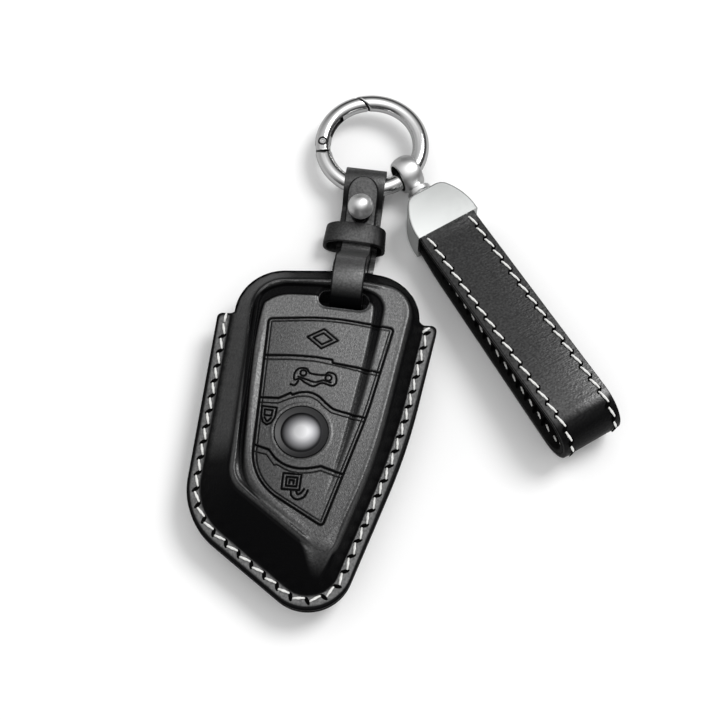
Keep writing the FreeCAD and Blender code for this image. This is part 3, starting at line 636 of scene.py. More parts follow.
ANGLES = np.radians(np.arange(0, 360, 0.36))
RIM = inset_sides(SEAM, RIM_INSETS, RIM_RADII)
(HEEL_X, HEEL_Y, HEEL_ROUND), RIM_TIP = RIM[1], RIM[2]
HEEL_SHIFT = RIM_HEEL * unit(np.array(RIM_TIP[:2]) - (HEEL_X, HEEL_Y))
RIM[1] = (HEEL_X + HEEL_SHIFT[0], HEEL_Y + HEEL_SHIFT[1], HEEL_ROUND)
SEAM_LINE = rounded(SEAM)
RIM_LINE = rounded(RIM)


def flange_corners():
    outer = grown(SEAM, FLANGE_WIDTH)
    (ax, ay, _), (bx, by, _) = outer[3], outer[4]
    right_x = ax + (bx - ax) * (TAB_RIGHT - ay) / (by - ay)
    left = (outer[0][0], TAB_LEFT, TAB_ROUND)
    right = (right_x, TAB_RIGHT, TAB_ROUND)
    return [left] + outer[1:4] + [right]


def stroke(points, path, width, depth, soft):
    """Depth of a moulded line: flat across its width and eased over its soft edges.

    Width and depth are one number, or a list of numbers spread along the path.
    """
    away, share = distance_to(points, path)
    wide = np.interp(share, np.linspace(0, 1, len(width)), width) if np.ndim(width) else width
    deep = np.interp(share, np.linspace(0, 1, len(depth)), depth) if np.ndim(depth) else depth
    return deep * ease((wide / 2 + soft / 2 - away) / soft)


LINE = {"width": 0.42, "depth": 0.5, "soft": 0.3}
FINE_LINE = {"width": 0.2, "depth": 0.3, "soft": 0.28}
ICON_LINE = {"width": 0.34, "depth": 0.42, "soft": 0.3}
BADGE_SEAT = 0.7
BADGE_LIP = 0.12
SLOT_WEAR = 0.35
RIDGE_RISE = 0.5
GROOVE_DEPTH = 0.3
PUCKER = 0.13


def closed(points):
    return np.vstack((points, points[:1]))


def border_lines():
    """The button panel's double border."""
    return [(closed(rounded(PANEL, 0.8)), LINE), (closed(rounded(grown(PANEL, -0.8), 0.8)), FINE_LINE)]


def divider_lines():
    """The double lines between the panel's buttons."""
    first = [(-12.6, 12.2), (-6, 13.0), (0, 13.3), (4.2, 13.1), (4.4, 12.3), (10, 11.9), (16.6, 11.2)]
    below = [(-12.6, 11.1), (-6, 11.9), (0, 12.2), (4.6, 11.8), (10, 11.1), (16.4, 10.3)]
    over = smooth_path([(-4.1, 2.9), (-2.4, 3.7), (0, 4.0), (2.2, 3.3), (4.2, 1.8), (6.0, 0.6), (8.0, 0.1)])
    second = np.vstack(([(-12.3, 1.2), (-7.2, 1.6), (-4.6, 3.3)], over, [(14.3, -0.8)]))
    round_top = [(-7.2, 0.3), (-4.4, 1.9), (-2.2, 2.7), (0, 2.9), (2.0, 2.2), (3.8, 0.8), (5.8, -0.5)]
    around = np.vstack(([(-12.1, -0.1)], smooth_path(round_top), [(8.0, -0.9), (14.0, -1.8)]))
    bowl = smooth_path([(-7.6, -11.6), (-5.6, -13.6), (-3.0, -14.9), (0, -15.3), (2.6, -14.9), (5.2, -14.1)])
    third = np.vstack(([(-11.4, -10.8)], bowl, [(11.0, -15.5)]))
    round_low = smooth_path([(-5.2, -15.0), (-2.6, -16.1), (0, -16.4), (2.8, -16.0), (5.3, -15.2)])
    under = np.vstack(([(-10.9, -12.5), (-8.0, -12.9), (-5.8, -15.3)], round_low, [(10.8, -16.5)]))
    lines = [(np.array(path, float), LINE) for path in (first, second, third)]
    return lines + [(np.array(path, float), FINE_LINE) for path in (below, around, under)]


def circle_path(centre, radius, count=15):
    return np.array(arc(centre, radius, 0, 360, count))


def diamond(centre, wide, high):
    x, y = centre
    return np.array([(x - wide, y), (x, y + high), (x + wide, y), (x, y - high), (x - wide, y)])


def icon_lines():
    """Generic signs on the buttons: a diamond, a car with its boot open and two padlocks."""
    car = [(-4.2, 6.8), (-4.4, 8.4), (-3.5, 9.8), (-1.7, 10.0), (-0.5, 8.9), (2.8, 8.9), (3.7, 9.7)]
    car += [(5.4, 9.3), (5.9, 7.4), (5.0, 6.4), (2.5, 6.8), (0.6, 5.7), (-1.6, 6.4), (-3.0, 7.2)]
    shield = [(-10.9, -0.9), (-7.3, -0.9), (-7.4, -3.4), (-8.1, -4.9), (-9.1, -5.5), (-10.1, -4.9)]
    shield += [(-10.7, -3.4)]
    plates = [
        shield,
        [(-10.1, -1.7), (-8.2, -1.7), (-8.3, -3.1), (-10.0, -3.1)],
        [(-3.3, -16.9), (1.0, -16.7), (1.0, -20.6), (-3.2, -20.8)],
        [(-2.4, -17.7), (0.2, -17.6), (0.2, -19.8), (-2.3, -19.9)],
    ]
    curves = [
        [(-5.0, 5.5), (-3.9, 5.4), (-3.2, 6.6)],
        [(-3.4, 7.7), (-1.2, 7.2), (0.8, 6.8), (2.8, 7.5), (4.6, 7.2)],
        [(-9.9, -3.7), (-9.1, -4.6), (-8.3, -3.7)],
        [(-1.0, -20.8), (-0.6, -22.2), (0.8, -22.9), (2.4, -22.0), (3.0, -20.4)],
        [(0.3, -20.8), (0.7, -21.6), (1.5, -21.2), (2.1, -20.2)],
    ]
    keyhole = np.array([(-1.6, -19.2), (-1.6, -18.4), (-0.6, -18.4), (-0.6, -19.2)])
    paths = [diamond((1.1, 18.3), 3.8, 2.6), diamond((1.1, 18.3), 2.3, 1.5)]
    paths += [smooth_path(car, closed=True, steps=5), keyhole]
    paths += [circle_path((-2.3, 8.8), 0.75), circle_path((3.9, 8.3), 0.75)]
    paths += [closed(np.array(plate)) for plate in plates]
    paths += [smooth_path(curve, steps=5) for curve in curves]
    return [(path, ICON_LINE) for path in paths]


CHANNEL = smooth_path(
    [(6, -32.9), (0, -29.2), (-8, -24.0), (-12.2, -19.5), (-14.0, -13), (-15.2, 0), (-16.0, 14), (-16.1, 25),
     (-14.4, 28.2), (-10.5, 30.4), (-5, 31.1), (1, 31.5), (9.5, 31.5), (13.2, 29.6), (13.7, 25), (13.1, 16),
     (11.9, 5), (10.5, -5), (8.9, -14), (7.2, -22)]
)
CHANNEL_WIDTH = [0.1, 0.5, 0.8, 1.2, 1.7, 1.7, 1.8, 2.6, 2.8, 2.8, 2.6, 2.2, 2.0, 1.8, 1.4, 0.8, 0.1]
CHANNEL_DEPTH = [0.0, 0.35, 0.5, 0.7, 0.9, 0.9, 0.9, 1.1, 1.1, 1.1, 1.0, 0.75, 0.6, 0.55, 0.5, 0.4, 0.0]
BEAD = smooth_path(
    [(-13.9, 26), (-13.6, 5), (-12.8, -8), (-11.4, -15.6), (-8.4, -20.8), (-1, -26.6), (6, -30.8)]
)
BEAD_WIDTH = [0.6, 0.9, 1.2, 1.8, 2.2, 1.8, 0.4]
BEAD_RISE = [0.0, 0.2, 0.35, 0.5, 0.55, 0.45, 0.0]


def slot_outline(extra=0.0):
    half_x, half_y = SLOT_LENGTH / 2 + extra, SLOT_WIDTH / 2 + extra
    corners = [(-half_x, half_y), (-half_x, -half_y), (half_x, -half_y), (half_x, half_y)]
    return rounded([(SLOT[0] + x, SLOT[1] + y, 0.9 * half_y) for x, y in corners], 0.3)


FRONT_ROWS = 270
REAR_ROWS = 48
INNER_ROWS = 26
# Tone levels, 1 being the leather's own colour; those of the left wall, panel and tip are painted shade
FLANGE_TONE = 0.9
LEFT_WALL_SHADE = 0.5
PANEL_LEFT_SHADE = 0.55
TIP_SHADE = 0.57
REAR_TONE = 0.55
RIM_BOW = np.array(RIM[3][:2])
RIM_END = np.array(RIM_TIP[:2])
TIP_WAY = unit(RIM_END - RIM_BOW)
TIP_CREASE = np.array([RIM_BOW, RIM_END, RIM_END + 9.5 * TIP_WAY])
TIP_CREASE_DEPTH = [0, 0, 0.2, 0.45, 0.5, 0.45, 0]


def tip_share(points):
    """How near the case's tip a place is, from 0 to 1: there the front face runs out softly."""
    off = points - RIM_END
    left = TIP_WAY[1] * off[:, 0] - TIP_WAY[0] * off[:, 1]
    return ease((points[:, 0] - 2.5) / 4.5) * ease((-24 - points[:, 1]) / 8) * ease((left + 0.2) / 1.2)


def wall_height(points, height, rim_line, shrink=0.0):
    """Height above the seam of the flange, the sloping wall and the flat face, with eased edges."""
    at_seam = depth_in(points, SEAM_LINE) - shrink
    at_rim = depth_in(points, rim_line) - shrink
    top = height - shrink
    span = np.maximum(at_seam - at_rim, 1e-6)
    wall = np.where(at_seam > 0, LEATHER + (top - LEATHER) * at_seam / span, LEATHER + 1.2 * at_seam)
    wall = np.where(at_rim > 0, top + 1.2 * at_rim, wall)
    rise = soft_least(wall, np.full(len(points), top), 0.5 + 2.5 * tip_share(points))
    return soft_most(rise, np.full(len(points), LEATHER), 0.5), at_seam, at_rim


def front_relief(points, at_rim):
    """What the mould adds to the flat face, and the painted shade in its lines and channel."""
    near = at_rim > -1.5
    change = np.zeros(len(points))
    line = np.zeros(len(points))
    spots = points[near]
    sunk = stroke(spots, CHANNEL, CHANNEL_WIDTH, CHANNEL_DEPTH, 1.0)
    raised = stroke(spots, BEAD, BEAD_WIDTH, BEAD_RISE, 1.4)
    fine = np.zeros(len(spots))
    everywhere = np.ones(len(spots), bool)
    panel = inside(spots, rounded(PANEL, 0.8))
    for lines, where in ((border_lines(), everywhere), (divider_lines() + icon_lines(), panel)):
        for path, style in lines:
            box = (spots >= path.min(0) - 1) & (spots <= path.max(0) + 1)
            close = box.all(axis=1) & where
            fine[close] = np.maximum(fine[close], stroke(spots[close], path, **style))
    away = np.hypot(*(spots - BADGE).T) - BADGE_RADIUS
    seat = BADGE_SEAT * ease(-away / 0.1)
    lip = BADGE_LIP * ease(1 - np.abs(away - 0.5) / 0.6)
    slot_gap = -depth_in(spots, slot_outline())
    wear_and_highlight = SLOT_WEAR * ease(1 - slot_gap / 0.9)
    on_badge = away < 0.4
    fine[on_badge] = 0
    firm = 1 - tip_share(spots)
    right = ease((spots[:, 0] - 4 - 0.12 * (spots[:, 1] + 33)) / 3)
    ridge = RIDGE_RISE * firm * (1 - 0.85 * right) * ease(1 - np.abs(at_rim[near] - 0.45) / 0.8)
    groove = GROOVE_DEPTH * firm * ease(1 - np.abs(at_rim[near] + 0.75) / 0.6)
    change[near] = raised + ridge - groove - sunk - fine - seat - wear_and_highlight + lip
    # Painted shade in the moulded lines and the channel
    line[near] = np.maximum(np.clip(fine / FINE_LINE["depth"], 0, 1), ease(sunk / 0.65))
    return change, line


def puckers(points, at_seam):
    """Small creases that the stitches pull into the foot of the wall."""
    foot = (at_seam > -0.4) & (at_seam < 2.8)
    line = closed(SEAM_LINE)
    length = np.linalg.norm(np.diff(line, axis=0), axis=1).sum()
    _, share = distance_to(points[foot], line)
    waves = np.cos(2 * np.pi * share * round(length / STITCH_PITCH))
    creases = np.zeros(len(points))
    creases[foot] = PUCKER * waves * ease(1 - np.abs(at_seam[foot] - 1.2) / 1.6)
    return creases


def flange_tone(at_seam):
    return np.where(at_seam < 0.0, FLANGE_TONE * ease(-at_seam / 0.5), 0)


def front_shade_tone(spots, at_seam, at_rim):
    """Tone of the front: matt face and flange, walls in painted shade, and a left wall in lighter painted
    shade in between; the panel and face get painted shade towards the left and the tip.
    """
    fade = 5 * tip_share(spots)
    tone = np.maximum(ease((at_rim + 0.9 + fade) / (1.1 + 1.2 * fade)), flange_tone(at_seam))
    left = ease((-at_rim - 0.4) / 2) * ease((-8 - spots[:, 0]) / 8) * ease((spots[:, 1] + 16) / 10)
    tone = np.maximum(tone, LEFT_WALL_SHADE * left * ease(at_seam / 2))
    panel = inside(spots, rounded(PANEL, 0.8))
    # Painted shade: the panel darker towards its left
    tone *= np.where(panel, PANEL_LEFT_SHADE + (1 - PANEL_LEFT_SHADE) * ease((spots[:, 0] + 13) / 20), 1)
    # Painted shade: the face darker towards the tip
    return tone * np.where(at_rim > 0, TIP_SHADE + (1 - TIP_SHADE) * ease((spots[:, 1] + 28) / 45), 1)


def rings_of(reaches):
    """Places on rings round the case's centre, one ring for each list of reaches."""
    directions = np.stack((np.cos(ANGLES), np.sin(ANGLES)), axis=1)
    return np.concatenate([CASE_CENTRE + directions * reach[:, None] for reach in reaches])


def shell(name, front):
    """A closed moulded shell round the case's centre: outer face, edge and inner face."""
    height = FRONT_HEIGHT if front else REAR_HEIGHT
    mouth = MOUTH_FRONT if front else MOUTH_REAR
    rim_line = RIM_LINE if front else rounded(grown(SEAM, -REAR_INSET))
    top_inset = RIM_INSETS[4] if front else REAR_INSET
    lip = top_inset * (mouth - LEATHER) / (height - LEATHER)
    flange = reach_of(rounded(flange_corners()), ANGLES)
    opening = reach_of(rounded(grown(SEAM, -lip)), ANGLES)
    sewn = flange > opening
    edge = np.where(sewn, flange, opening)
    base = np.where(sewn, 0.0, mouth)
    under_flange = reach_of(rounded(grown(SEAM, -LEATHER)), ANGLES)
    under_lip = reach_of(rounded(grown(SEAM, -LEATHER - lip)), ANGLES)
    inner_edge = np.where(sewn, under_flange, under_lip)
    insets = np.concatenate(([0.0, 0.08, 0.2, 0.4], np.arange(0.75, 5.6, 0.35)))
    rows = FRONT_ROWS if front else REAR_ROWS
    reaches = [edge - inset for inset in insets]
    reaches += [(edge - insets[-1]) * (1 - (k + 1) / (rows + 1)) for k in range(rows)]
    spots = rings_of(reaches)
    rise, at_seam, at_rim = wall_height(spots, height, rim_line)
    if front:
        change, line = front_relief(spots, at_rim)
        crease = stroke(spots, TIP_CREASE, 0.5, TIP_CREASE_DEPTH, 0.9)
        rise += change + puckers(spots, at_seam) - crease
        # The lines and the channel take painted shade
        tone = front_shade_tone(spots, at_seam, at_rim) * (1 - line)
    else:
        tone = np.maximum(REAR_TONE, flange_tone(at_seam))
    count = len(ANGLES)
    border = np.repeat(insets, count)
    rounding = EDGE_ROUND * (1 - np.minimum(border / 0.5, 1)) ** 2
    rise[: len(border)] -= rounding * np.tile(sewn, len(insets))
    tone[: len(border)] *= ease((border - 0.7) / 0.6)

    below = [inner_edge, edge - EDGE_ROUND, edge]
    levels = [base, base, base + EDGE_ROUND]
    shares = [1 - (k + 0.02) / INNER_ROWS for k in reversed(range(INNER_ROWS))]
    inside_spots = rings_of([inner_edge * share for share in shares])
    inner_rise = wall_height(inside_spots, height, rim_line, LEATHER)[0]
    inner_rise = np.maximum(inner_rise, np.tile(base, INNER_ROWS))

    xy = np.concatenate([inside_spots, rings_of(below), spots])
    heights = np.concatenate([inner_rise, *levels, rise])
    tones = np.concatenate((np.full(INNER_ROWS * count, 0.2), np.zeros(len(below) * count), tone))
    sign = 1 if front else -1
    vertices = np.column_stack((xy, SEAM_Z + sign * heights))
    total = INNER_ROWS + len(below) + len(reaches)
    faces = grid_faces(total, count)
    faces.append(tuple(range(count)))
    faces.append(tuple(range((total - 1) * count, total * count))[::-1])
    mesh = bpy.data.meshes.new(name)
    mesh.from_pydata((vertices * MM).tolist(), [], faces)
    # The tone carries the painted shade of walls and lines and the black of the leather's edges
    shades = mesh.attributes.new("tone", "FLOAT", "POINT")
    shades.data.foreach_set("value", tones.astype(np.float32))
    return finished(name, mesh, CASE_LEATHER, "case", [name], sharp=50)


front = shell("front_shell", True)
shell("rear_shell", False)
cut(front, [cutter(*prism(slot_outline(), 12, 20))], sharp=50)


# Badge: a plain domed disc in a smoked ring


def badge():
    rim, sink, bulge = 6.45, 5.0, 16.0
    seat = BADGE_TOP - 0.45
    place = Matrix.Translation((*BADGE, 0))
    ring = [(0, BADGE_LOW), (rim, BADGE_LOW), (rim, BADGE_TOP - 0.1), (rim - 0.15, BADGE_TOP + 0.05)]
    ring += [(rim - 0.35, BADGE_TOP), (sink, seat), (0, seat)]
    piece("badge_ring", *lathe(ring, place), SMOKED, "case", "badge_metal", ["badge_disc"])
    half = math.degrees(math.asin(sink / bulge))
    dome = [(0, BADGE_LOW + 0.2), (sink, BADGE_LOW + 0.2)]
    dome += arc((0, BADGE_TOP + 0.35 - bulge), bulge, 90 - half, 90, 20)
    piece("badge_dome", *lathe(dome, place), faded_metal(), "case", "badge_metal", ["badge_disc"])


badge()


# Thread: each stitch of the frame becomes a twisted strand between two pricked holes


STITCH_WIDTH = 0.9
WRIST_PITCH = 3.9
HOLE_SLANT = -50
HOLE_HALF = 1.25
HOLE_WIDE = 0.5
UPWARD = np.array((0.0, 0.0, 1.0))


def stitch_places(name):
    """Centre of the base, direction and upward side of every stitch solid of a node."""
    mesh = bmesh.new()
    mesh.from_mesh(frame["nodes"][name].data)
    bmesh.ops.remove_doubles(mesh, verts=mesh.verts, dist=1e-6)
    unseen = set(mesh.verts)
    places = []
    while unseen:
        island = [unseen.pop()]
        for vertex in island:
            for link in vertex.link_edges:
                other = link.other_vert(vertex)
                if other in unseen:
                    unseen.remove(other)
                    island.append(other)
        points = np.array([v.co for v in island]) / MM
        middle = points.mean(0)
        along = np.linalg.svd(points - middle)[2][0]
        end = points[(points - middle) @ along > 0]
        sides = [(a, b) for a, b in itertools.combinations(end, 2) if abs((a - b) @ along) < 0.05]
        low, high = min(sides, key=lambda side: abs(np.linalg.norm(side[0] - side[1]) - STITCH_WIDTH))
        base = (low + high) / 2
        up = unit(end.mean(0) - base)
        places.append((base - along * ((base - middle) @ along), along, up))
    mesh.free()
    return sorted(places, key=lambda item: tuple(np.round(item[0], 2)))


def slanted(along, up, slant):
    """A direction turned about the upward side by an angle in degrees, and the one square to it."""
    turn = math.radians(slant)
    forward = along * math.cos(turn) + np.cross(up, along) * math.sin(turn)
    return forward, np.cross(up, forward)


def strand(place, length, slant, thick):
    """One twisted stitch that dives into the leather at both ends."""
    base, along, up = place
    forward, side = slanted(along, up, slant)
    rings, around = 15, 10
    crest, dive, taper, twist = 0.24, 0.45, 0.6, 0.14
    vertices = []
    for k in range(rings):
        t = k / (rings - 1) * 2 - 1
        lift = crest - dive * abs(t) ** 5
        radius = thick * (1 - taper * abs(t) ** 3)
        for c in range(around):
            angle = 2 * math.pi * c / around
            reach = radius * (1 + twist * math.cos(2 * angle - 7 * t))
            spot = side * (reach * math.cos(angle)) + up * (lift + reach * 0.8 * math.sin(angle))
            vertices.append(base + forward * (t * length / 2) + spot)
    return vertices, grid_faces(rings, around) + end_faces(rings, around)


def hole(spot, forward, up):
    """A slanted pricked hole: a thin dark lens let into the leather, as painted shade inside the hole."""
    along, across = slanted(forward, up, HOLE_SLANT)
    around = 12
    vertices = [spot + up * 0.06, spot - up * 0.2]
    faces = []
    for c in range(around):
        angle = 2 * math.pi * c / around
        rim = along * (HOLE_HALF * math.cos(angle)) + across * (HOLE_WIDE * math.sin(angle))
        vertices.append(spot + up * 0.02 + rim)
        d = (c + 1) % around
        faces += [(0, 2 + c, 2 + d), (1, 2 + d, 2 + c)]
    return vertices, faces


def sewing(name, places, body, nodes, length, slant, pitch, thick):
    strands = joined(*(strand(place, length, slant, thick) for place in places))
    piece(name, *strands, THREAD, body, "white_thread", nodes)
    marks = joined(*(hole(base + along * (pitch / 2), along, up) for base, along, up in places))
    piece(name + "_holes", *marks, HOLE_SHADE, body, "black_leather")


def faced(places, reference):
    """Turns every stitch's direction to run round with the reference function."""
    return [(b, a if a @ reference(b, u) > 0 else -a, u) for b, a, u in places]


def round_case(base, up):
    return np.cross(UPWARD, np.array((*(base[:2] - CASE_CENTRE), 0.0)))


case_places = faced(stitch_places("case_stitching"), round_case)
sewing("case_stitching", case_places, "case", ["case_stitching"], 3.2, 16, STITCH_PITCH, 0.3)

tacks = [
    (np.array((-24.5, 23.9, SEAM_Z + LEATHER)), unit(np.array((0.05, 1.0, 0.0))), UPWARD),
    (np.array((25.8, 27.0, SEAM_Z + LEATHER)), unit(np.array((0.75, 0.66, 0.0))), UPWARD),
]
piece("case_tacks", *joined(*(strand(tack, 2.6, 0, 0.32) for tack in tacks)), THREAD, "case", "white_thread")

EYE_TURN = math.radians(EYE_ANGLE)
EYE = RING + Vector((math.cos(EYE_TURN), math.sin(EYE_TURN), 0)) * (RING_RADIUS - EYE_INSET)
WRIST = Matrix.Translation(EYE) @ Matrix.Rotation(math.radians(WRIST_ANGLE), 4, "Z")
WRIST_ACROSS = np.array(WRIST.to_3x3() @ Vector((0, 1, 0)))


def round_loop(base, up):
    return np.cross(WRIST_ACROSS, up)


wrist_places = faced(stitch_places("wrist_stitching"), round_loop)
sewing("wrist_stitching", wrist_places, "wrist", ["wrist_stitching"], 3.7, 12, WRIST_PITCH, 0.29)
through = [(base - up * BAND_LAYERS, along, -up) for base, along, up in wrist_places]
sewing("wrist_inner_stitching", through, "wrist", [], 2.2, -12, WRIST_PITCH, 0.22)


# Straps: the frame's leather with softened edges


def softened(name, material_used, body, width):
    mesh = frame["nodes"][name].data.copy()
    soft = bmesh.new()
    soft.from_mesh(mesh)
    bmesh.ops.remove_doubles(soft, verts=soft.verts, dist=1e-6)
    bmesh.ops.dissolve_limit(soft, angle_limit=math.radians(0.5), verts=soft.verts, edges=soft.edges)
    sharp = [e for e in soft.edges if e.is_manifold and e.calc_face_angle(0) > math.radians(40)]
    bmesh.ops.bevel(
        soft, geom=sharp, offset=width * MM, segments=3, profile=0.5, affect="EDGES", clamp_overlap=True
    )
    soft.to_mesh(mesh)
    soft.free()
    return finished(name, mesh, material_used, body, [name], sharp=35)


softened("connector_strap", TONGUE_LEATHER, "strap", 0.3)


def keeper():
    """A loose leather loop: wider towards the case, its front edge standing a little higher."""
    low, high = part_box("strap_keeper")
    wall, edge, shift, flare, lean = 1.0, 0.3, 0.7, 0.05, 0.45
    middle = (low + high) / 2 / MM - Vector((shift, 0, 0))
    half_y = (high.y - low.y) / MM / 2
    half_x, half_z = 7.3, 3.25
    centre_z = half_z + wall / 2 + 0.1
    power = 2 / 3.2
    section = []
    for side, along, first in ((1, 1, 0), (-1, 1, 90), (-1, -1, 180), (1, -1, 270)):
        corner = (side * (wall / 2 - edge), along * (half_y - edge))
        section += arc(corner, edge, first, first + 90, 4)
    around = 120
    vertices = []
    for k in range(around):
        angle = 2 * math.pi * k / around
        cos, sin = math.cos(angle), math.sin(angle)
        x = math.copysign(abs(cos) ** power, cos)
        z = math.copysign(abs(sin) ** power, sin)
        out = Vector((x / half_x * abs(x) ** 1.2, 0, z / half_z * abs(z) ** 1.2)).normalized()
        for n, y in section:
            wide = 1 + flare * (half_y - y) / (2 * half_y) * abs(x)
            spot = Vector((x * half_x * wide, y + lean * max(sin, 0) ** 2, z * half_z)) + out * n
            vertices.append(Vector((middle.x, middle.y, centre_z)) + spot)
    faces = grid_faces(around, len(section), wrap_rows=True)
    piece("strap_keeper", vertices, faces, KEEPER_LEATHER, "keeper", "black_leather", ["strap_keeper"])


keeper()
softened("wrist_outer", BAND_LEATHER, "wrist", 0.3)
softened("wrist_lining", INNER_LEATHER, "wrist", 0.3)


# Ring and gate


def joint_angle(radius, reach):
    """How far from the hinge pin the tube at a radius meets an arc of a reach about that pin."""
    share = (radius**2 + RING_RADIUS**2 - reach**2) / (2 * radius * RING_RADIUS)
    return math.degrees(math.acos(share))


def tube(first, last, steps, around=48, edge=0.15):
    """A stretch of the ring between two ends, each an angle as a function of the radius."""
    vertices = []
    shares = [0, 0.004, 0.012] + [k / steps for k in range(1, steps)] + [0.988, 0.996, 1]
    thin = {0: edge, 0.004: edge * 0.3, 1: edge, 0.996: edge * 0.3}
    for share in shares:
        small = RING_TUBE - thin.get(share, 0)
        for c in range(around):
            angle = 2 * math.pi * c / around
            radius = RING_RADIUS + small * math.cos(angle)
            turn = math.radians(first(radius) + (last(radius) - first(radius)) * share)
            spot = Vector((radius * math.cos(turn), radius * math.sin(turn), small * math.sin(angle)))
            vertices.append(RING + spot)
    return vertices, grid_faces(len(shares), around) + end_faces(len(shares), around)


def ring_sector(inner, outer, first, last, count=12):
    return arc((0, 0), inner, first, last, count) + arc((0, 0), outer, last, first, count)


PIN = Vector((math.cos(math.radians(PIN_ANGLE)), math.sin(math.radians(PIN_ANGLE)), 0)) * RING_RADIUS
AT_RING = Matrix.Translation(RING)


def disc(centre, radius, count=32):
    return arc(centre, radius, 0, 360, count)[:-1]


def darken(made, chosen):
    """Gives the chosen faces dark steel, as painted shade."""
    made.data.materials.append(SHADE_STEEL)
    for polygon in made.data.polygons:
        polygon.material_index = int(chosen(polygon))


def is_end(polygon):
    return len(polygon.vertices) > 4


def ring():
    half = LUG_THICK / 2
    body = tube(
        lambda r: PIN_ANGLE + joint_angle(r, HEEL_REACH + JOINT_LINE),
        lambda r: 360 + PIN_ANGLE - joint_angle(r, GATE_REACH + JOINT_LINE),
        160,
    )
    lug = ring_sector(RING_RADIUS - LUG_HALF, RING_RADIUS + LUG_HALF, PIN_ANGLE, RING_HEEL + 2)
    plate = prism(lug, -half, half, AT_RING)
    end = prism(disc(PIN, LUG_ROUND), -half + 0.02, half - 0.02, AT_RING)
    made = piece("ring_body", *body, BRIGHT, "ring", "bright_metal", ["ring_body"])
    # The tube's end faces and the lug are dark steel: painted shade in the hinge's joints
    darken(made, is_end)
    piece("ring_lug", *joined(plate, end), SHADE_STEEL, "ring", "bright_metal", ["ring_body"])


def gate():
    body = tube(
        lambda r: PIN_ANGLE + joint_angle(r, HEEL_REACH),
        lambda r: PIN_ANGLE - joint_angle(r, GATE_REACH),
        70,
    )
    made = piece("ring_gate", *body, BRIGHT, "gate", "bright_metal", ["ring_gate"])
    darken(made, is_end)
    room = LUG_THICK / 2 + GATE_GAP / 2
    lug = LUG_ROUND + GATE_GAP
    fork = ring_sector(RING_RADIUS - 2 * lug, RING_RADIUS + 2 * lug, PIN_ANGLE, RING_HEEL + 4)
    seat = RING_RADIUS - RING_TUBE / 2 + 0.35
    slit = ring_sector(RING_RADIUS - 2 * RING_TUBE, seat, *SPRING_SLIT, 16)
    head = disc(PIN, 1.3)
    cutters = [
        cutter(*prism(disc(PIN, lug), -room, room, AT_RING)),
        cutter(*prism(fork, -room, room, AT_RING)),
        # The cuts for the spring's slit and the pin's heads take dark steel: painted shade in them
        cutter(*prism(slit, -0.6, 1.3, AT_RING), 1),
        cutter(*prism(head, 1.4, 4, AT_RING), 1),
        cutter(*prism(head, -4, -1.4, AT_RING), 1),
    ]
    cut(made, cutters)


def gate_fittings():
    place = AT_RING @ Matrix.Translation(PIN)
    top = RING_TUBE
    half = [(0, top - 0.3), (0.3, top - 0.25), (0.4, top), (0.75, top), (0.88, top - 0.15)]
    half += [(0.88, 1.2), (0.6, 1.2)]
    head = half + [(radius, -height) for radius, height in reversed(half)]
    piece("gate_pin", *lathe(head, place, 40), PIN_STEEL, "gate", "pin_steel", ["gate_pin"])


ring()
gate()
gate_fittings()


# Stud, swivel eye and end cap


def stud():
    middle = (STUD_LOW + STUD_HIGH) / 2
    place = Matrix.Translation((STUD_X, middle.y, STUD_LOW.z))
    ball, rise, neck = 3.3, 6.8, 1.4
    low = math.degrees(math.asin(math.sqrt(ball**2 - neck**2) / ball))
    profile = [(0, 0), (1.6, 0), (1.7, 0.1), (1.7, 0.5), (1.6, 0.6), (neck, 0.7)]
    profile += arc((0, rise), ball, -low, 90, 36)
    made = piece("stud_knob", *lathe(profile, place), SOFT_BRIGHT, "strap", "bright_metal", ["stud_knob"])
    # The neck under the ball is dark steel: painted shadow under the ball
    darken(made, lambda polygon: polygon.center.z < (STUD_LOW.z + rise - 0.75 * ball) * MM)


def swivel():
    ball, flat, waist, mouth, corner = 5.0, 2.8, 2.75, 3.6, 0.25
    bead = WRIST @ Matrix.Rotation(math.radians(90), 4, "X")
    edge = math.degrees(math.asin((flat - corner * 0.6) / ball))
    outer = arc((0, 0), ball, -edge, edge, 40)
    bulge = ((mouth - waist) ** 2 + flat**2) / (2 * (mouth - waist))
    half = math.degrees(math.asin(flat / bulge))
    bore = arc((waist + bulge, 0), bulge, 180 - half, 180 + half, 16)
    profile = outer + [(outer[-1][0] - corner, flat)] + bore + [(outer[0][0] - corner, -flat)]
    ringed = lathe(profile, bead, 128, closed=True)
    axis = WRIST @ Matrix.Rotation(math.radians(90), 4, "Y")
    turned = [(0, 4.3), (2.3, 4.3), (2.1, 4.9), (1.95, 5.3), (2.1, 5.6), (3.0, 5.6), (3.2, 5.8)]
    turned += [(3.2, 6.9), (3.0, 7.1), (1.6, 7.1), (1.6, 11.05), (2.4, 11.05), (2.5, 11.15)]
    turned += [(2.5, 11.95), (2.4, 12.05), (0, 12.05)]
    stem = lathe(turned, axis, 64)
    made = piece("swivel_eye", *joined(ringed, stem), SOFT_BRIGHT, "eye", "bright_metal", ["swivel_eye"])
    inverse = bead.inverted()

    def in_bore(polygon):
        spot = inverse @ (polygon.center / MM)
        return math.hypot(spot.x, spot.y) < mouth + 0.1 and abs(spot.z) < flat + 0.1

    # The bore is dark steel: painted shade inside it
    darken(made, in_bore)


def cap_corners(half, front, bow, past):
    mouth, shoulder, nose, small = 20.0 + past, 14.4, 5.0, 2.4
    corners = [(mouth, half, small), (shoulder, half, bow), (front, nose, bow * 0.22)]
    return corners + [(x, -y, r) for x, y, r in reversed(corners)]


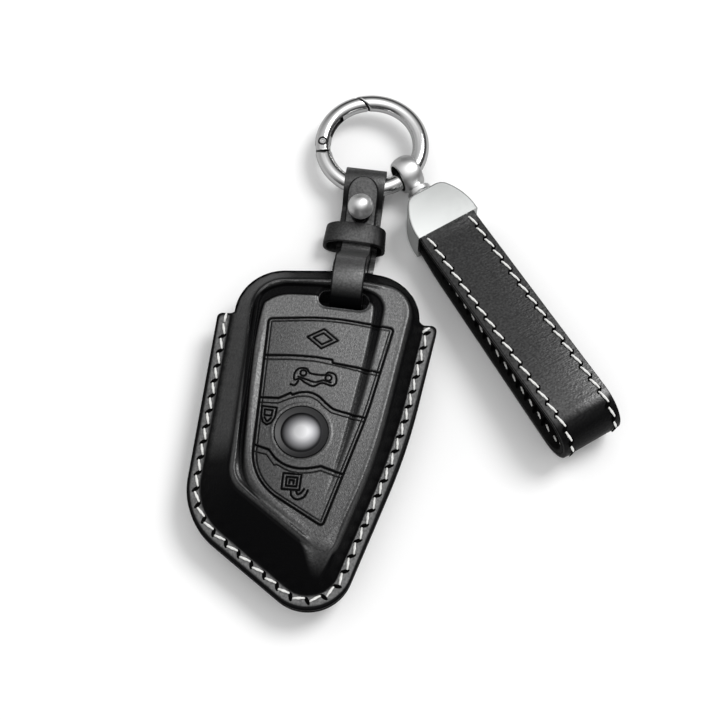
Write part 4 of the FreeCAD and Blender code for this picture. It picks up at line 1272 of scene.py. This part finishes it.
def cap():
    height, edge, past = 5.5, 0.5, 3.6
    turns = np.linspace(0, math.pi / 2, 9)
    levels = [(edge * (1 - math.sin(t)), -height + edge * (1 - math.cos(t))) for t in turns]
    levels += [(inset, -z) for inset, z in reversed(levels)]
    base = rounded(cap_corners(8.9, 8.4, 16.0, past), 0.35)
    normals = np.roll(base, -1, axis=0) - np.roll(base, 1, axis=0)
    normals = np.stack((normals[:, 1], -normals[:, 0]), axis=1)
    normals /= np.linalg.norm(normals, axis=1)[:, None]
    if inside(base[:1] + normals[:1] * 0.1, base)[0]:
        normals = -normals
    vertices = []
    for inset, z in levels:
        vertices += [WRIST @ Vector((x, y, z)) for x, y in base - normals * inset]
    count = len(base)
    faces = grid_faces(len(levels), count) + end_faces(len(levels), count)
    made = piece("end_cap", vertices, faces, CAP_PLATING, "wrist", "bright_metal", ["end_cap"], sharp=30)
    trim = [(20.0, -20), (40, -20), (40, 20), (20.0, 20)]
    hollow = rounded(cap_corners(8.2, 11.0, 7.0, past), 0.35)
    axis = WRIST @ Matrix.Rotation(math.radians(90), 4, "Y")
    shank = lathe([(0, 7), (1.65, 7), (1.65, 12.2), (0, 12.2)], axis, 48)
    cutters = [
        cutter(*prism(trim, -10, 10, WRIST)),
        cutter(*prism(hollow, -4.1, 4.1, WRIST)),
        cutter(*shank),
    ]
    cut(made, cutters, sharp=30)


stud()
swivel()
cap()

# Pieces that the frame draws well enough take their finish here
for name, finish in {
    "front_lining": LINING,
    "rear_lining": LINING,
    "stud_screw": BRIGHT,
    "gate_spring": PIN_STEEL,
}.items():
    plain = frame["nodes"][name]
    plain.data.materials.clear()
    plain.data.materials.append(finish)


# Floor, light and camera


def floor():
    half = 3.0
    mesh = bpy.data.meshes.new("floor")
    corners = [(-half, -half, 0), (half, -half, 0), (half, half, 0), (-half, half, 0)]
    mesh.from_pydata(corners, [], [(0, 1, 2, 3)])
    made = placed("floor", mesh)
    paper, tree, shader = material("floor_paper", (0.96, 0.96, 0.96), 0.9, Specular_IOR_Level=0.0)
    # Seen in gloss the floor is a darker grey: painted shade in the reflections of the floor round the
    # object
    mirrored = node(tree, "BsdfDiffuse", {"Color": (0.4, 0.4, 0.4, 1)}).outputs["BSDF"]
    glossy = node(tree, "LightPath").outputs["Is Glossy Ray"]
    surface = node(tree, "MixShader", {0: glossy, 1: shader.outputs["BSDF"], 2: mirrored}).outputs["Shader"]
    tree.links.new(surface, tree.nodes["Material Output"].inputs["Surface"])
    mesh.materials.append(paper)


def lamp(name, place, target, size, power):
    light = bpy.data.lights.new(name, "AREA")
    light.shape = "DISK"
    light.size = size
    light.energy = power
    made = placed(name, light)
    made.location = place
    made.rotation_euler = (Vector(target) - Vector(place)).to_track_quat("-Z", "Y").to_euler()


PANEL_GLOWS = [
    ((0.05, -0.02, 1.0), 0.4, 0.95, 0.55),
    ((0.05, -0.02, 1.0), 0.8, 0.99, 0.85),
    ((-0.93, 0.15, 0.33), 0.55, 0.95, 0.35),
]
AMBIENT = 0.75


def world():
    """White behind the object, plain light on it and soft panels, fading outwards, in its gloss."""
    made = bpy.data.worlds.new("studio")
    made.use_nodes = True
    tree = made.node_tree
    background = tree.nodes["Background"]
    path = node(tree, "LightPath").outputs
    direction = node(tree, "TexCoord").outputs["Generated"]
    shine = 0.05
    for towards, start, full, strength in PANEL_GLOWS:
        facing = vectors(tree, "DOT_PRODUCT", direction, towards)["Value"]
        glow = graded(tree, facing, start, full, 0.0, strength, interpolation_type="SMOOTHSTEP")
        shine = maths(tree, "ADD", glow, shine)
    lit = mixed(tree, "FLOAT", path["Is Glossy Ray"], AMBIENT, shine)
    seen = maths(tree, "MAXIMUM", path["Is Camera Ray"], path["Is Transmission Ray"])
    tree.links.new(mixed(tree, "FLOAT", seen, lit, 1.0), background.inputs["Strength"])
    background.inputs["Color"].default_value = (1, 1, 1, 1)
    bpy.context.scene.world = made


def camera():
    azimuth, elevation, distance = math.radians(7.5), math.radians(68), 0.382
    target = Vector((0.010, 0.0205, 0.0))
    flat = math.cos(elevation)
    back = Vector((math.sin(azimuth) * flat, -math.cos(azimuth) * flat, math.sin(elevation)))
    view = bpy.data.cameras.new("camera")
    view.lens = 75
    view.sensor_width = 36
    made = placed("camera", view)
    made.location = target + back * distance
    made.rotation_euler = (-back).to_track_quat("-Z", "Y").to_euler()
    bpy.context.scene.camera = made


floor()
lamp("key", (0.85, 0.8, 1.5), (0.02, 0.02, 0), 0.9, 19.0)
world()
camera()
bpy.context.scene.view_settings.view_transform = "Standard"
